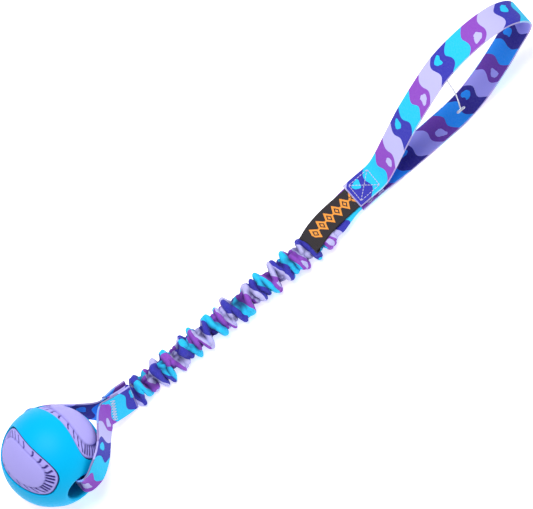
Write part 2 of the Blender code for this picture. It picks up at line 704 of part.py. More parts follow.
def add_label(empties):
    """A woven ribbon folded in two: one body whose two plies meet at the fold."""
    path = label_path()
    ways = directions(path)
    offset = (LABEL_PLY + FIT_GAP) / 2
    upper, lower = [], []
    for place, along in zip(path, ways):
        normal = along.cross(Vector((0, 1, 0))).normalized()
        upper.append(place - normal * offset)
        lower.append(place + normal * offset)
    fold = path[-1] + ways[-1] * (offset + LABEL_PLY)
    ribbon = [*upper, fold, *lower[::-1]]
    sections = []
    for place, along in zip(ribbon, directions(ribbon)):
        sections.append(web_section(place, along, Vector((0, 1, 0)), LABEL_WIDTH / 2, LABEL_PLY))
    add_solid("label", *swept(sections), "label_fabric", "handle", empties)


def add_label_stitch(empties):
    """The row of thread that holds the label down, just before the hand loop's cut end."""
    place = HANDLE_START - LABEL_SEAM_MARGIN
    height = LABEL_SEAT_HEIGHT + LABEL_STACK / 2 + FIT_GAP + THREAD_THICKNESS
    reach = Vector((0, LABEL_WIDTH / 2 - LABEL_SEAM_MARGIN, 0))
    middle = Vector((place, HANDLE_SIDE_START, height))
    seam = rod(middle - reach, middle + reach, THREAD_THICKNESS / 2, THREAD_SIDES)
    add_solid("label_stitch", *seam, "thread", "handle", empties)


def add_tag_pin(empties):
    """The clear fastener of a swing tag: a filament that hangs from the hand loop, with a crossbar."""
    over = min(handle_path(), key=lambda point: abs(point.x - HANDLE_START - PIN_PLACE) - point.z)
    top = Vector((over.x, over.y - HALF_WEB + PIN_INSET, over.z - WEB_THICKNESS - FIT_GAP))
    bottom = top - Vector((PIN_SWAY, PIN_INSET, PIN_LENGTH))
    knee = (top + bottom) / 2 + Vector((PIN_SWAY * PIN_BOW_SHARE, 0, 0))
    sections = []
    path = curve_through([top, knee, bottom], PIN_STEPS)
    for place, along in zip(path, directions(path)):
        sections.append(round_section(place, along, PIN_FILAMENT_RADIUS, THREAD_SIDES))
    pin = add_solid("tag_pin", *swept(sections), "clear_plastic", "handle", empties)
    half_bar = Vector((PIN_BAR_LENGTH / 2, 0, 0))
    bar_shape = rod(bottom - half_bar, bottom + half_bar, PIN_BAR_RADIUS, THREAD_SIDES)
    bar = add_solid("pin_bar", *bar_shape, "clear_plastic", "handle", empties)
    bar.hide_render = True
    bar.display_type = "WIRE"
    join = pin.modifiers.new("crossbar", "BOOLEAN")
    join.operation = "UNION"
    join.object = bar


def stand_on_origin(toy):
    """Moves the toy so that its footprint's middle is at the origin and its lowest point at height 0."""
    bpy.context.view_layer.update()
    corners = []
    for obj in bpy.data.objects:
        if obj.type == "MESH" and not obj.hide_render:
            corners += [obj.matrix_world @ vertex.co for vertex in obj.data.vertices]
    lowest = [min(corner[axis] for corner in corners) for axis in range(3)]
    highest = [max(corner[axis] for corner in corners) for axis in range(3)]
    toy.location = (-(lowest[0] + highest[0]) / 2, -(lowest[1] + highest[1]) / 2, -lowest[2])


def main():
    clear_scene()
    empties = add_bodies()
    add_ball_shell(empties)
    for number, tilt in enumerate(INLAY_TILTS_DEG, 1):
        add_inlay(f"ball_inlay_{number}", tilt, 0, empties)
    add_ball_strap(empties)
    add_sleeve_ball_end(empties)
    add_bartacks(empties)
    add_bungee_sleeve(empties)
    add_elastic(empties)
    add_sleeve_handle_end(empties)
    add_handle_webbing(empties)
    add_handle_box_stitch(empties)
    add_label(empties)
    add_label_stitch(empties)
    add_tag_pin(empties)
    stand_on_origin(empties[None])


main()
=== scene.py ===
"""The look of the bungee tug toy: rubber ball, printed webbing, gathered sleeve, label and tag pin.

Places are counted from the floor under the bend at the sleeve's ball end, with the toy along X. Each mesh
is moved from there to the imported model's frame when it is made.
"""

import json
from math import acos, atan2, copysign, cos, exp, hypot, pi, radians, sin, sqrt

import bmesh
import bpy
import numpy as np
from mathutils import Color, Matrix, Vector, noise
from mathutils.geometry import interpolate_bezier

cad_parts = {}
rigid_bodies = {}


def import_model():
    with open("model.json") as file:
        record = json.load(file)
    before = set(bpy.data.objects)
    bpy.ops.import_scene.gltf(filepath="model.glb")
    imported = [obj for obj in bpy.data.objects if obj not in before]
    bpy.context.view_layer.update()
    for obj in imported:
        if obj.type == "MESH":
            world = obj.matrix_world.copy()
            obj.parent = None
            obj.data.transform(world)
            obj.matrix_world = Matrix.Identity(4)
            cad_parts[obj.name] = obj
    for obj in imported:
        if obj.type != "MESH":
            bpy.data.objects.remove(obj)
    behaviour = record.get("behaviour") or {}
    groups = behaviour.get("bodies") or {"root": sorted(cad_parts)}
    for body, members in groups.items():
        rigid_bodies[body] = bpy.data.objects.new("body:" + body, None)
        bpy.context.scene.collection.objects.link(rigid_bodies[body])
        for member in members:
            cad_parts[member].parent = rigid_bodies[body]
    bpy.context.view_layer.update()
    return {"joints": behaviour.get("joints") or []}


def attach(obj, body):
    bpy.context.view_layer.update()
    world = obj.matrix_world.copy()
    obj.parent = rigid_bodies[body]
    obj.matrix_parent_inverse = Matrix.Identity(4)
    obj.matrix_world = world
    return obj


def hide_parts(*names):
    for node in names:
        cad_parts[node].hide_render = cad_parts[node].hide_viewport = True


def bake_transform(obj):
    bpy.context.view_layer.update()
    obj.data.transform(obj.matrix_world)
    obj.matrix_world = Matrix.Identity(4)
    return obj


for startup_object in list(bpy.data.objects):
    bpy.data.objects.remove(startup_object, do_unlink=True)
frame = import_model()

MM = 0.001
TURN = 2 * pi
UP = Vector((0, 0, 1))
JOINTS = {joint["name"]: joint for joint in frame["joints"]}
TOY_ORIGIN = Vector(JOINTS["ball_swing"]["pos_m"]) * Vector((1, 1, 0))
SLOPE_STEP = 0.3 * MM

# Ball
BALL_RADIUS = 32.75 * MM
BORE_RADIUS = 10 * MM
MOUTH_ROUNDING = 2 * MM
FIT_GAP = 0.3 * MM
CUT_OVERRUN = 3 * MM
SHELL_SIDES = 144
RECESS_SIDES = 96
RECESS_SHARES = (0.3, 0.65, 1)
INLAY_GROOVE = 0.5 * MM
INLAY_HALF_LENGTH = 30.5 * MM
INLAY_HALF_WIDTH = 15 * MM
INLAY_FULLNESS = 2 / 2.4
INLAY_TILTS_DEG = (-39, 61, 144, 227)
INLAY_DEPTH = 2.2 * MM
INLAY_FLANGE_WIDTH = 4.8 * MM
INLAY_FLANGE_DROP = 0.9 * MM
INLAY_STEP_WIDTH = 0.7 * MM
INLAY_EDGE_ROUNDING = 0.5 * MM
INLAY_SIDES = 560
OVAL_STEPS = 1440
TICK_DEPTH = 1 * MM
TICK_WIDTH = 1.8 * MM
TICK_BEND = 1.4 * MM
SIDE_TICKS = 8
END_TICKS = 6
SIDE_TICK_SPREAD_DEG = 108
END_TICK_SPREAD_DEG = 46

# Webbing
WEB_WIDTH = 20 * MM
WEB_THICKNESS = 1.4 * MM
HALF_WEB = WEB_WIDTH / 2
WEB_STAND = FIT_GAP + WEB_THICKNESS / 2
WEB_CELLS = 16

# Sleeve
SLEEVE_LENGTH = 143 * MM
SLEEVE_HEIGHT = 10 * MM
SLEEVE_HALF_WIDTH = 9.8 * MM
FLAT_THICKNESS = 2.4 * MM
TACK_RADIUS = 3.4 * MM
ELASTIC_RADIUS = 3 * MM
ELASTIC_STEPS = 40
FLAT_START = SLEEVE_LENGTH + TACK_RADIUS + FIT_GAP
GATHER_START = -8 * MM
GATHER_END = 162 * MM
GATHER_SPAN = GATHER_END - GATHER_START
GATHER_ROWS = 360
GATHER_COLUMNS = 64
GATHERED_CLOTH = 457 * MM
GATHER_OPENING = 4 * MM
GATHER_CLOSING = 16 * MM
FLAT_ROW = 1.5 * MM
FOLD_OVERHANG = 1.1 * MM
FOLD_MIDDLE_WIDTH = 7.3 * MM
FOLD_MIDDLE_HEIGHT = 6.2 * MM
FOLD_HEIGHT = 2.6 * MM
FOLD_TOP = 8.6 * MM
FOLD_DEPTH = 5 * MM
LOWER_SPLIT = 8 * MM
UPPER_SPLIT = 135 * MM
LABEL_ROOM = 0.8 * MM

# The folds' form, whose counts are along the whole gathered length
RUFFLE_COUNT = 15.5
RUFFLE_DRIFT = 4.5
RUFFLE_WANDER = 0.9
SLEEVE_SPIN = 0.6
DRIFTS_ALONG = 9
LOBES_ALONG = 14
RINGS_ALONG = 12
MINOR_ALONG = 75
MINOR_AROUND = 2.4
RIDGE_FULLNESS = 2.4
RIDGE_SWING_SHARE = 1.05
RIDGE_REACH_SHARE = 0.72
RINGED_SHARE = 0.35
LOBE_CHANGE_SHARE = 0.7
MINOR_SHARE = 0.7
WIDE_FULLNESS = 0.8
HIGH_FULLNESS = 0.9

# Ball strap, whose strands are -1 on the near side and 1 on the far side
BALL_REACH = 71.2 * MM
STRAP_YAW = radians(7.75)
BALL_TURN = radians(-4)
STRAP_BORE_SLACK = 0.5 * MM
STRAP_SEAM_START = 26 * MM
STRAP_SEAM_END = 7 * MM
STRAP_SEAM_STEPS = 16
STRAP_DESCENT = 55 * MM
STRAP_SEAM_LEAN = radians(17)
STRAND_LEANS = {-1: radians(10), 1: radians(4)}
STRAND_RISES = {-1: 4 * MM, 1: -7.5 * MM}
STRAND_STAND_OFFS = {-1: 1.2 * MM, 1: 0.6 * MM}
STRAP_CUP_RADIUS = BORE_RADIUS - WEB_STAND - STRAP_BORE_SLACK
STRAP_DRAWN_IN = 6 * MM
STRAP_FLATTENED_SHARE = 0.5
IN_MOUTH_SHARE = 0.15
BORE_STEPS = 12
BEND_STEPS = 24
ROUND_BALL_STEPS = 12
FREE_STEPS = 24
FAR_END_LIFT = 2 * MM
SEAM_OFFSET = FLAT_THICKNESS / 2 + WEB_STAND
BALL_CENTRE = Vector((-BALL_REACH * cos(STRAP_YAW), -BALL_REACH * sin(STRAP_YAW), BALL_RADIUS))

# Hand loop, whose shares are of its length and of its rise
HANDLE_START = 181 * MM
HANDLE_LENGTH = 158 * MM
HANDLE_RISE = 69.2 * MM
HANDLE_SIDE_START = 9.3 * MM
HANDLE_SIDE_DRIFT = 4.7 * MM
HANDLE_SEAM_LENGTH = 20 * MM
HANDLE_SEAM_LIFT = 2.5 * MM
LOOP_SHARES = (
    (0.18, 0.19), (0.29, 0.42), (0.39, 0.62), (0.54, 0.855), (0.62, 0.945),
    (0.71, 0.99), (0.80, 1), (0.87, 0.975), (0.93, 0.92), (0.98, 0.81),
    (1, 0.68), (0.985, 0.59), (0.945, 0.51), (0.89, 0.42),
    (0.81, 0.285), (0.73, 0.17), (0.64, 0.065), (0.57, 0.02),
    (0.49, 0), (0.41, 0), (0.33, 0), (0.26, 0),
)
HANDLE_ACROSS = Vector((-HANDLE_SIDE_DRIFT, HANDLE_LENGTH, 0)).normalized()

# Label
LABEL_WIDTH = 16 * MM
LABEL_LENGTH = 43.5 * MM
LABEL_TUCK = 4 * MM
LABEL_PLY = 0.4 * MM
LABEL_FREE_SIDE = -1.2 * MM
LABEL_END_HEIGHT = 16 * MM
LABEL_LEVEL_SHARE = 0.1
LABEL_STEPS = 28
LABEL_FOLD_STEPS = 8
LABEL_FOLD_BULGE = 1.6
LABEL_STITCH_MARGIN = 1.5 * MM

# Heights in the hand loop's seam
FLOOR_WEB_HEIGHT = WEB_THICKNESS / 2
LOWER_WEB_HEIGHT = FLOOR_WEB_HEIGHT + HANDLE_SEAM_LIFT
FLAT_HEIGHT = LOWER_WEB_HEIGHT + WEB_STAND + FLAT_THICKNESS / 2
LABEL_STACK = 2 * LABEL_PLY + FIT_GAP
LABEL_SEAT_HEIGHT = FLAT_HEIGHT + FLAT_THICKNESS / 2 + FIT_GAP + LABEL_STACK / 2
UPPER_WEB_HEIGHT = LABEL_SEAT_HEIGHT + LABEL_STACK / 2 + WEB_STAND

# Stitches
STITCH_LENGTH = 1.3 * MM
STITCH_PITCH = 2.1 * MM
STITCH_RADIUS = 0.26 * MM
STITCH_SIDES = 8
BOX_STITCH_MARGIN = 3 * MM
BOX_STITCH_END_MARGIN = 1.5 * MM
BARTACK_HEIGHT = 15 * MM
BARTACK_WIDTH = 3.2 * MM
BARTACK_PASSES = 15

# Tag pin
PIN_FILAMENT_RADIUS = 0.5 * MM
PIN_LENGTH = 42 * MM
PIN_BAR_LENGTH = 5.5 * MM
PIN_BAR_RADIUS = 0.8 * MM
PIN_PLACE = 92 * MM
PIN_SWAY = 5 * MM
PIN_INSET = 1 * MM

# Print, whose shift is the place in the pattern where a cloth starts
PRINT_PERIOD = 55 * MM
PRINT_SLOPE = -0.43
PRINT_WAVE = 2.6 * MM
PRINT_WAVE_LENGTH = 19 * MM
PRINT_WANDER = 5 * MM
PRINT_WANDER_SIZE = 14 * MM
BLOT_SIZE = 3.5 * MM
ISLAND_LENGTH = 5.6 * MM
ISLAND_WIDTH = 3.2 * MM
ISLAND_SIDE = 3.6 * MM
LOOP_BACK_SHIFT = 19 * MM
STRAP_SHIFT = 7 * MM
STRAP_BACK_SHIFT = -7.5 * MM
SLEEVE_SHIFT = 31 * MM

# Weaves and grains
TWILL_PITCH = 1.1 * MM
YARN_PITCH = 0.7 * MM
FLECK_SIZE = 1.3 * MM
WEAVE_DEPTH = 0.12 * MM
WOVEN_EDGE = 0.5 * MM
CUT_EDGE = 0.9 * MM
CREASE_SIZE = 4 * MM
CREASE_DEPTH = 0.3 * MM
CLOUD_SIZE = 18 * MM
GRAIN_SIZE = 0.5 * MM
GRAIN_DEPTH = 0.05 * MM
TWIST_PITCH = 0.45 * MM
TWIST_DEPTH = 0.08 * MM
HAZE_SIZE = 2 * MM

# Label's weave
RIB_PITCH = 0.9 * MM
WEFT_PITCH = 0.6 * MM
LABEL_RELIEF = 0.08 * MM
LOZENGE_PITCH = 7 * MM
LOZENGE_HALF_LENGTH = 3.2 * MM
LOZENGE_HALF_WIDTH = 5.2 * MM
LINK_SIZE = 0.8 * MM
LOZENGES_START = 3 * MM
LOZENGES_END = 41 * MM

# Camera: what one of the photograph's pixels spans, and where its middle lies
PIXEL = 0.635 * MM
IMAGE_WIDTH = 533
AIM_RIGHT = 80.3 * MM
AIM_UP = 84.8 * MM
AIM_HEIGHT = 9 * MM
CAMERA_RIGHT = Vector((0.7716, -0.5668, -0.2888))
CAMERA_UP = Vector((0.6361, 0.6875, 0.3503))
CAMERA_BACK = Vector((0, -0.454, 0.891))
CAMERA_DISTANCE = 2600 * MM

# Light and floor
KEY_LEFT = 350 * MM
KEY_UP = 500 * MM
KEY_BACK = 1100 * MM
KEY_SIZE = 800 * MM
KEY_POWER = 15.5
WORLD_LIGHT = 0.28
FLOOR_LIGHT = 0.58
FLOOR_REACH = 4000 * MM
FLOOR_DROP = 0.05 * MM
FLOOR_CLOUD_SIZE = 1000 / 3 * MM


def srgb(red, green, blue):
    """A screen colour, 0 to 255, as the linear colour that a shader takes."""
    return (*Color((red / 255, green / 255, blue / 255)).from_srgb_to_scene_linear(), 1)


WHITE = srgb(255, 255, 255)
INKS = {
    "navy": srgb(44, 46, 180),
    "cyan": srgb(0, 205, 255),
    "purple": srgb(146, 70, 200),
    "lavender": srgb(197, 194, 250),
}
# Painted shade: the same four inks, darkened for the webbing's faces that turn inwards, away from the
# light.
PAINTED_SHADE_INKS = {
    "navy": srgb(36, 30, 145),
    "cyan": srgb(0, 150, 255),
    "purple": srgb(108, 54, 172),
    "lavender": srgb(166, 162, 250),
}


def darkened(colour, share):
    return (*(value * share for value in colour[:3]), 1)


def smooth(share):
    share = min(max(share, 0), 1)
    return share * share * (3 - 2 * share)


def shares(steps):
    """Even shares from 0 to 1, in this many steps."""
    return [step / steps for step in range(steps + 1)]


def between(start, end, share):
    return start + (end - start) * share


def signed_power(value, power):
    """A sine or cosine raised to a power, which makes an ellipse fuller or leaner."""
    return copysign(abs(value) ** power, value)


def curve_through(points, steps):
    """A smooth curve through the points, with this many steps from one to the next."""
    ends = [2 * points[0] - points[1], *points, 2 * points[-1] - points[-2]]
    curve = []
    for a, b, c, d in zip(ends, ends[1:], ends[2:], ends[3:]):
        for t in shares(steps)[:-1]:
            bend = (2 * a - 5 * b + 4 * c - d) * t * t + (3 * b - a - 3 * c + d) * t**3
            curve.append(b + ((c - a) * t + bend) / 2)
    return [*curve, points[-1]]


def directions(path):
    """The path's unit direction at each of its points."""
    padded = [path[0], *path, path[-1]]
    return [(ahead - behind).normalized() for behind, ahead in zip(padded, padded[2:])]


def lengths_along(path):
    """How far along the path each of its points lies."""
    lengths = [0]
    for before, after in zip(path, path[1:]):
        lengths.append(lengths[-1] + (after - before).length)
    return lengths


def square_to(along, way):
    """The way, turned square to the direction along."""
    return (way - along * way.dot(along)).normalized()


# Materials


def joined_by(operation):
    """A method that joins a value to others through a maths node."""
    return lambda value, *others: value.nodes.maths(operation, value, *others)


class Value:
    """A number that a material's nodes work out."""

    __add__ = joined_by("ADD")
    __sub__ = joined_by("SUBTRACT")
    __mul__ = joined_by("MULTIPLY")
    __truediv__ = joined_by("DIVIDE")
    __lt__ = joined_by("LESS_THAN")
    __gt__ = joined_by("GREATER_THAN")
    __abs__ = joined_by("ABSOLUTE")

    def __init__(self, nodes, socket):
        self.nodes = nodes
        self.socket = socket


class Nodes:
    """A material's nodes."""

    def __init__(self, name, roughness):
        self.material = bpy.data.materials.new(name)
        self.material.use_nodes = True
        self.tree = self.material.node_tree
        self.shader = self.tree.nodes["Principled BSDF"]
        self.put_all(self.shader, {"Roughness": roughness})

    def put(self, socket, value):
        if isinstance(value, Value):
            value = value.socket
        if isinstance(value, bpy.types.NodeSocket):
            self.tree.links.new(value, socket)
        else:
            socket.default_value = value

    def put_all(self, node, inputs):
        for name, value in inputs.items():
            self.put(node.inputs[name], value)

    def node(self, kind, inputs, **settings):
        made = self.tree.nodes.new(kind)
        for name, value in settings.items():
            setattr(made, name, value)
        self.put_all(made, inputs)
        return made.outputs

    def maths(self, operation, *values):
        return Value(self, self.node("ShaderNodeMath", dict(enumerate(values)), operation=operation)[0])

    def mix(self, share, first, second):
        return self.node("ShaderNodeMix", {0: share, 6: first, 7: second}, data_type="RGBA")[2]

    def noise(self, place, size, detail=2):
        made = self.node("ShaderNodeTexNoise", {"Vector": place, "Scale": 1 / size, "Detail": detail})
        return Value(self, made["Fac"])

    def wave(self, value, pitch):
        return self.maths("SINE", value * (TURN / pitch))

    def bands(self, value, pitch):
        """A wave from 0 to 1 with this pitch along the value."""
        return self.wave(value, pitch) * 0.5 + 0.5

    def toy_place(self):
        return self.node("ShaderNodeTexCoord", {})["Object"]

    def split(self, place):
        parts = self.node("ShaderNodeSeparateXYZ", {"Vector": place})
        return Value(self, parts["X"]), Value(self, parts["Y"])

    def layer(self, name):
        """What a mesh's layer holds: the place itself, and its two numbers."""
        place = self.node("ShaderNodeUVMap", {}, uv_map=name)["UV"]
        return place, *self.split(place)

    def bump(self, height, depth, strength):
        made = self.node("ShaderNodeBump", {"Height": height, "Distance": depth, "Strength": strength})
        self.put_all(self.shader, {"Normal": made["Normal"]})

    def finish(self, colour, sheen=0, specular=0.5):
        looks = {"Base Color": colour, "Sheen Weight": sheen, "Specular IOR Level": specular}
        self.put_all(self.shader, looks)
        return self.material


def print_cloth(name, inks, shift, edge_light, crease_depth=0, fold_shade=0):
    """Woven cloth printed with wavy bands in four colours and small rounded islands on two of them."""
    nodes = Nodes(name, 0.72)
    place, along, across = nodes.layer("Cloth")
    wander = (nodes.noise(place, PRINT_WANDER_SIZE, 1) - 0.5) * PRINT_WANDER
    sway = wander + nodes.wave(across, PRINT_WAVE_LENGTH) * PRINT_WAVE
    phase = (across * PRINT_SLOPE + (along + shift) + sway) / PRINT_PERIOD
    cycle = nodes.maths("FRACT", phase)
    colour = nodes.node("ShaderNodeValToRGB", {"Fac": cycle})["Color"]
    ramp = colour.node.color_ramp
    ramp.interpolation = "CONSTANT"
    while len(ramp.elements) < len(inks):
        ramp.elements.new(1)
    for number, ink in enumerate(inks.values()):
        ramp.elements[number].position = number / len(inks)
        ramp.elements[number].color = ink
    blot = nodes.noise(place, BLOT_SIZE) - 0.5
    for middle_share, ink, side in ((0.13, "cyan", 1), (0.63, "lavender", -1)):
        off_along = (cycle - middle_share) * PRINT_PERIOD / (ISLAND_LENGTH / 2)
        off_across = (across - side * ISLAND_SIDE) / ISLAND_WIDTH
        away = blot * 2 + (off_along * off_along + off_across * off_across)
        colour = nodes.mix(away < 1, colour, inks[ink])
    weave = nodes.bands(along + across, TWILL_PITCH) * 0.6 + nodes.bands(along, YARN_PITCH) * 0.4
    pale = weave * nodes.noise(place, FLECK_SIZE) * 0.13
    colour = nodes.mix(pale, colour, srgb(235, 225, 255))
    if edge_light:
        edge = nodes.maths("MAXIMUM", abs(across) > HALF_WEB - WOVEN_EDGE, along < CUT_EDGE)
        colour = nodes.mix(edge * edge_light, colour, srgb(225, 215, 250))
    # Painted shade: the cloth darkens deep between the folds, where little light reaches.
    if fold_shade:
        deep = nodes.layer("Folds")[1]
        colour = nodes.mix(deep * fold_shade, colour, srgb(30, 10, 95))
    if crease_depth:
        weave = nodes.noise(place, CREASE_SIZE, 3) * (crease_depth / WEAVE_DEPTH) + weave
    nodes.bump(weave, WEAVE_DEPTH, 0.7)
    return nodes.finish(colour, sheen=0.05, specular=0.12)


def rubber(name, colour, roughness, speckle, painted_shade_colour):
    """Moulded rubber: faintly cloudy, with a fine matt grain, and darkened with painted shade down in its
    grooves and hollows.
    """
    nodes = Nodes(name, roughness)
    place = nodes.toy_place()
    cloud = nodes.noise(place, CLOUD_SIZE, 3)
    shade = nodes.mix(cloud * speckle, colour, darkened(colour, 0.82))
    nodes.bump(nodes.noise(place, GRAIN_SIZE), GRAIN_DEPTH, 0.35)
    # Painted shade: the layer says how deep down a corner lies, and there the colour turns to the shade
    # colour.
    down = nodes.layer("Cloth")[1]
    return nodes.finish(nodes.mix(down, shade, painted_shade_colour), specular=0.08)


def twisted_thread(name, colour):
    nodes = Nodes(name, 0.6)
    x, y = nodes.split(nodes.toy_place())
    twist = nodes.bands(x + y, TWIST_PITCH)
    nodes.bump(twist, TWIST_DEPTH, 0.8)
    return nodes.finish(nodes.mix(twist * 0.5, colour, darkened(colour, 0.7)), sheen=0.2)


def label_cloth():
    """Damask-woven ribbon: a charcoal ground, and along it a row of linked orange lozenges."""
    nodes = Nodes("label_weave", 0.8)
    _, along, across = nodes.layer("Cloth")
    rib = nodes.bands(across, RIB_PITCH)
    weft = nodes.bands(along, WEFT_PITCH)
    ground = nodes.mix(rib * 0.5, srgb(46, 42, 46), srgb(70, 64, 66))
    off_along = abs((nodes.maths("FRACT", along / LOZENGE_PITCH) - 0.5) * LOZENGE_PITCH)
    off_across = abs(across)
    lozenge = off_along / LOZENGE_HALF_LENGTH + off_across / LOZENGE_HALF_WIDTH
    outline = abs(lozenge - 0.8) < 0.24
    link = off_across - off_along + LOZENGE_PITCH / 2 < LINK_SIZE
    figure = nodes.maths("MAXIMUM", nodes.maths("MAXIMUM", outline, lozenge < 0.3), link)
    shown = figure * (along < LOZENGES_END) * (along > LOZENGES_START)
    orange = nodes.mix(weft, srgb(255, 150, 40), srgb(255, 178, 90))
    nodes.bump(shown * 1.2 + (rib + weft), LABEL_RELIEF, 0.6)
    return nodes.finish(nodes.mix(shown, ground, orange), sheen=0.1, specular=0.25)


def clear_nylon():
    nodes = Nodes("clear_nylon", 0.18)
    nodes.put_all(nodes.shader, {"Transmission Weight": 0.35})
    haze = nodes.noise(nodes.toy_place(), HAZE_SIZE)
    return nodes.finish(nodes.mix(haze, srgb(248, 248, 252), srgb(222, 226, 240)), specular=0.6)


# Meshes


def add_to_scene(name, data):
    obj = bpy.data.objects.new(name, data)
    bpy.context.scene.collection.objects.link(obj)
    return obj


def make_object(name, points, faces, corners, *materials):
    """A smooth-shaded mesh, in the toy's frame, whose face corners carry a place on the flat cloth."""
    mesh = bpy.data.meshes.new(name)
    mesh.from_pydata([point + TOY_ORIGIN for point in points], [], faces)
    if corners:
        layer = mesh.uv_layers.new(name="Cloth")
        for item, corner in zip(layer.data, corners):
            item.uv = corner
    mesh.shade_smooth()
    for material in materials:
        mesh.materials.append(material)
    return add_to_scene(name, mesh)


def fit(piece, body, node):
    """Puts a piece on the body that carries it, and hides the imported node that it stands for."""
    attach(piece, body)
    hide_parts(node)


def wall_faces(rings, count, looped=False):
    """Faces between neighbouring rings of points. A looped wall joins its last ring to its first too."""
    faces = []
    for ring in range(rings if looped else rings - 1):
        here, there = ring * count, (ring + 1) % rings * count
        for j in range(count):
            k = (j + 1) % count
            faces.append((here + j, here + k, there + k, there + j))
    return faces


def end_faces(points, count):
    """Faces that close the first and the last ring of a wall."""
    return [tuple(range(count))[::-1], tuple(range(len(points) - count, len(points)))]


def lofted(rings, flats, capped=True):
    """Points, faces and flat places of a tube through rings. Each ring's flats hold one place more."""
    count = len(rings[0])
    points = [point for ring in rings for point in ring]
    faces = wall_faces(len(rings), count)
    corners = []
    for here, there in zip(flats, flats[1:]):
        for j in range(count):
            corners += [here[j], here[j + 1], there[j + 1], there[j]]
    if capped:
        faces += end_faces(points, count)
        corners += [*flats[0][:count][::-1], *flats[-1][:count]]
    return points, faces, corners


def band_outline(half_width, thickness, cells):
    """(across, up) round a band's section, with rounded edges."""
    round_in = thickness / 2
    flat = half_width - round_in
    outline = [(flat * (2 * share - 1), round_in) for share in shares(cells)]
    for turn in (pi / 4, 0, -pi / 4):
        outline.append((flat + round_in * cos(turn), round_in * sin(turn)))
    outline += [(flat * (1 - 2 * share), -round_in) for share in shares(cells)]
    for turn in (-pi / 4, 0, pi / 4):
        outline.append((-flat - round_in * cos(turn), round_in * sin(turn)))
    return outline


def band_ring(centre, along, width_way, curl, outline):
    """One section of a band in space: flat, or curled to an arc whose radius is one over curl."""
    across = square_to(along, width_way)
    normal = along.cross(across)
    ring = []
    for reach, up in outline:
        if curl:
            turn = curl * reach
            middle = centre + (across * sin(turn) + normal * (1 - cos(turn))) / curl
            ring.append(middle + (normal * cos(turn) - across * sin(turn)) * up)
        else:
            ring.append(centre + across * reach + normal * up)
    return ring


def band(name, stations, half_width, thickness, materials, cells):
    """A band along stations of (centre, along, width way, curl). A second material goes on its back."""
    outline = band_outline(half_width, thickness, cells)
    rings, flats = [], []
    for station, run in zip(stations, lengths_along([station[0] for station in stations])):
        rings.append(band_ring(*station, outline))
        flats.append([(run, reach) for reach, _ in [*outline, outline[0]]])
    made = make_object(name, *lofted(rings, flats), *materials)
    if len(materials) > 1:
        # A section's points run over the front, round an edge, over the back, then round the other edge.
        for face in made.data.polygons[:-2]:
            face.material_index = int(cells + 3 < face.index % len(outline) < 2 * cells + 5)
    return made


def tube(name, path, radius, material, sides):
    """A round rod along a path, with domed ends."""
    ways = directions(path)
    first = ways[0].orthogonal().normalized()
    stations = [(path[0] - ways[0] * radius * 0.6, ways[0], 0.55)]
    stations += [(place, way, 1) for place, way in zip(path, ways)]
    stations += [(path[-1] + ways[-1] * radius * 0.6, ways[-1], 0.55)]
    turns = [TURN * share for share in shares(sides)]
    rings, flats = [], []
    for (place, way, size), run in zip(stations, lengths_along([station[0] for station in stations])):
        first = square_to(way, first)
        second = way.cross(first)
        ways_out = [first * cos(turn) + second * sin(turn) for turn in turns[:-1]]
        rings.append([place + way_out * radius * size for way_out in ways_out])
        flats.append([(run, radius * turn) for turn in turns])
    return make_object(name, *lofted(rings, flats), material)


def join(name, pieces):
    """The pieces as one object."""
    whole = pieces[0]
    chosen = {"selected_objects": pieces, "selected_editable_objects": pieces}
    with bpy.context.temp_override(object=whole, active_object=whole, **chosen):
        bpy.ops.object.join()
    whole.name = name
    return whole


def stitches(name, lines, normal, thread):
    """Short stitches along polylines, each dipping into the cloth at its two ends."""
    made = []
    dip = normal * STITCH_RADIUS * 0.9
    for line in lines:
        for start, end in zip(line, line[1:]):
            run = (end - start).length
            way = (end - start).normalized()
            count = max(round(run / STITCH_PITCH), 1)
            half = way * min(STITCH_LENGTH, 0.8 * run / count) / 2
            for number in range(count):
                middle = start + way * run * (number + 0.5) / count
                path = curve_through([middle - half - dip, middle, middle + half - dip], 3)
                made.append(tube("stitch", path, STITCH_RADIUS, thread, STITCH_SIDES))
    return join(name, made)


def outward(obj):
    """Turns all of an object's faces outwards."""
    shape = bmesh.new()
    shape.from_mesh(obj.data)
    bmesh.ops.recalc_face_normals(shape, faces=shape.faces)
    shape.to_mesh(obj.data)
    shape.free()


def apply_modifiers(obj):
    """Turns the object's modified shape into its own mesh."""
    bpy.context.view_layer.update()
    graph = bpy.context.evaluated_depsgraph_get()
    mesh = bpy.data.meshes.new_from_object(obj.evaluated_get(graph))
    obj.modifiers.clear()
    obj.data = mesh


# Ball


def ball_place(point):
    """From the ball's own frame, whose Y is the bore's axis, to the toy's frame."""
    return BALL_CENTRE + Matrix.Rotation(STRAP_YAW + BALL_TURN, 3, "Z") @ Vector(point)


def ball_profile(rings=72, mouth_steps=8, bore_steps=6):
    """The ball's section, as (out, along): over the outside, and back round the mouths and the bore."""
    rounding_out = BORE_RADIUS + MOUTH_ROUNDING
    rounding_along = sqrt((BALL_RADIUS - MOUTH_ROUNDING) ** 2 - rounding_out**2)
    mouth_turn = atan2(rounding_along, rounding_out)
    profile = []
    for share in shares(rings):
        turn = mouth_turn * (1 - 2 * share)
        profile.append((BALL_RADIUS * cos(turn), BALL_RADIUS * sin(turn)))
    mouth = []
    for share in shares(mouth_steps)[1:]:
        turn = between(mouth_turn, pi, share)
        out = rounding_out + MOUTH_ROUNDING * cos(turn)
        mouth.append((out, rounding_along + MOUTH_ROUNDING * sin(turn)))
    profile += [(out, -along) for out, along in mouth]
    profile += [(BORE_RADIUS, rounding_along * (2 * share - 1)) for share in shares(bore_steps)[1:-1]]
    return profile + mouth[::-1]


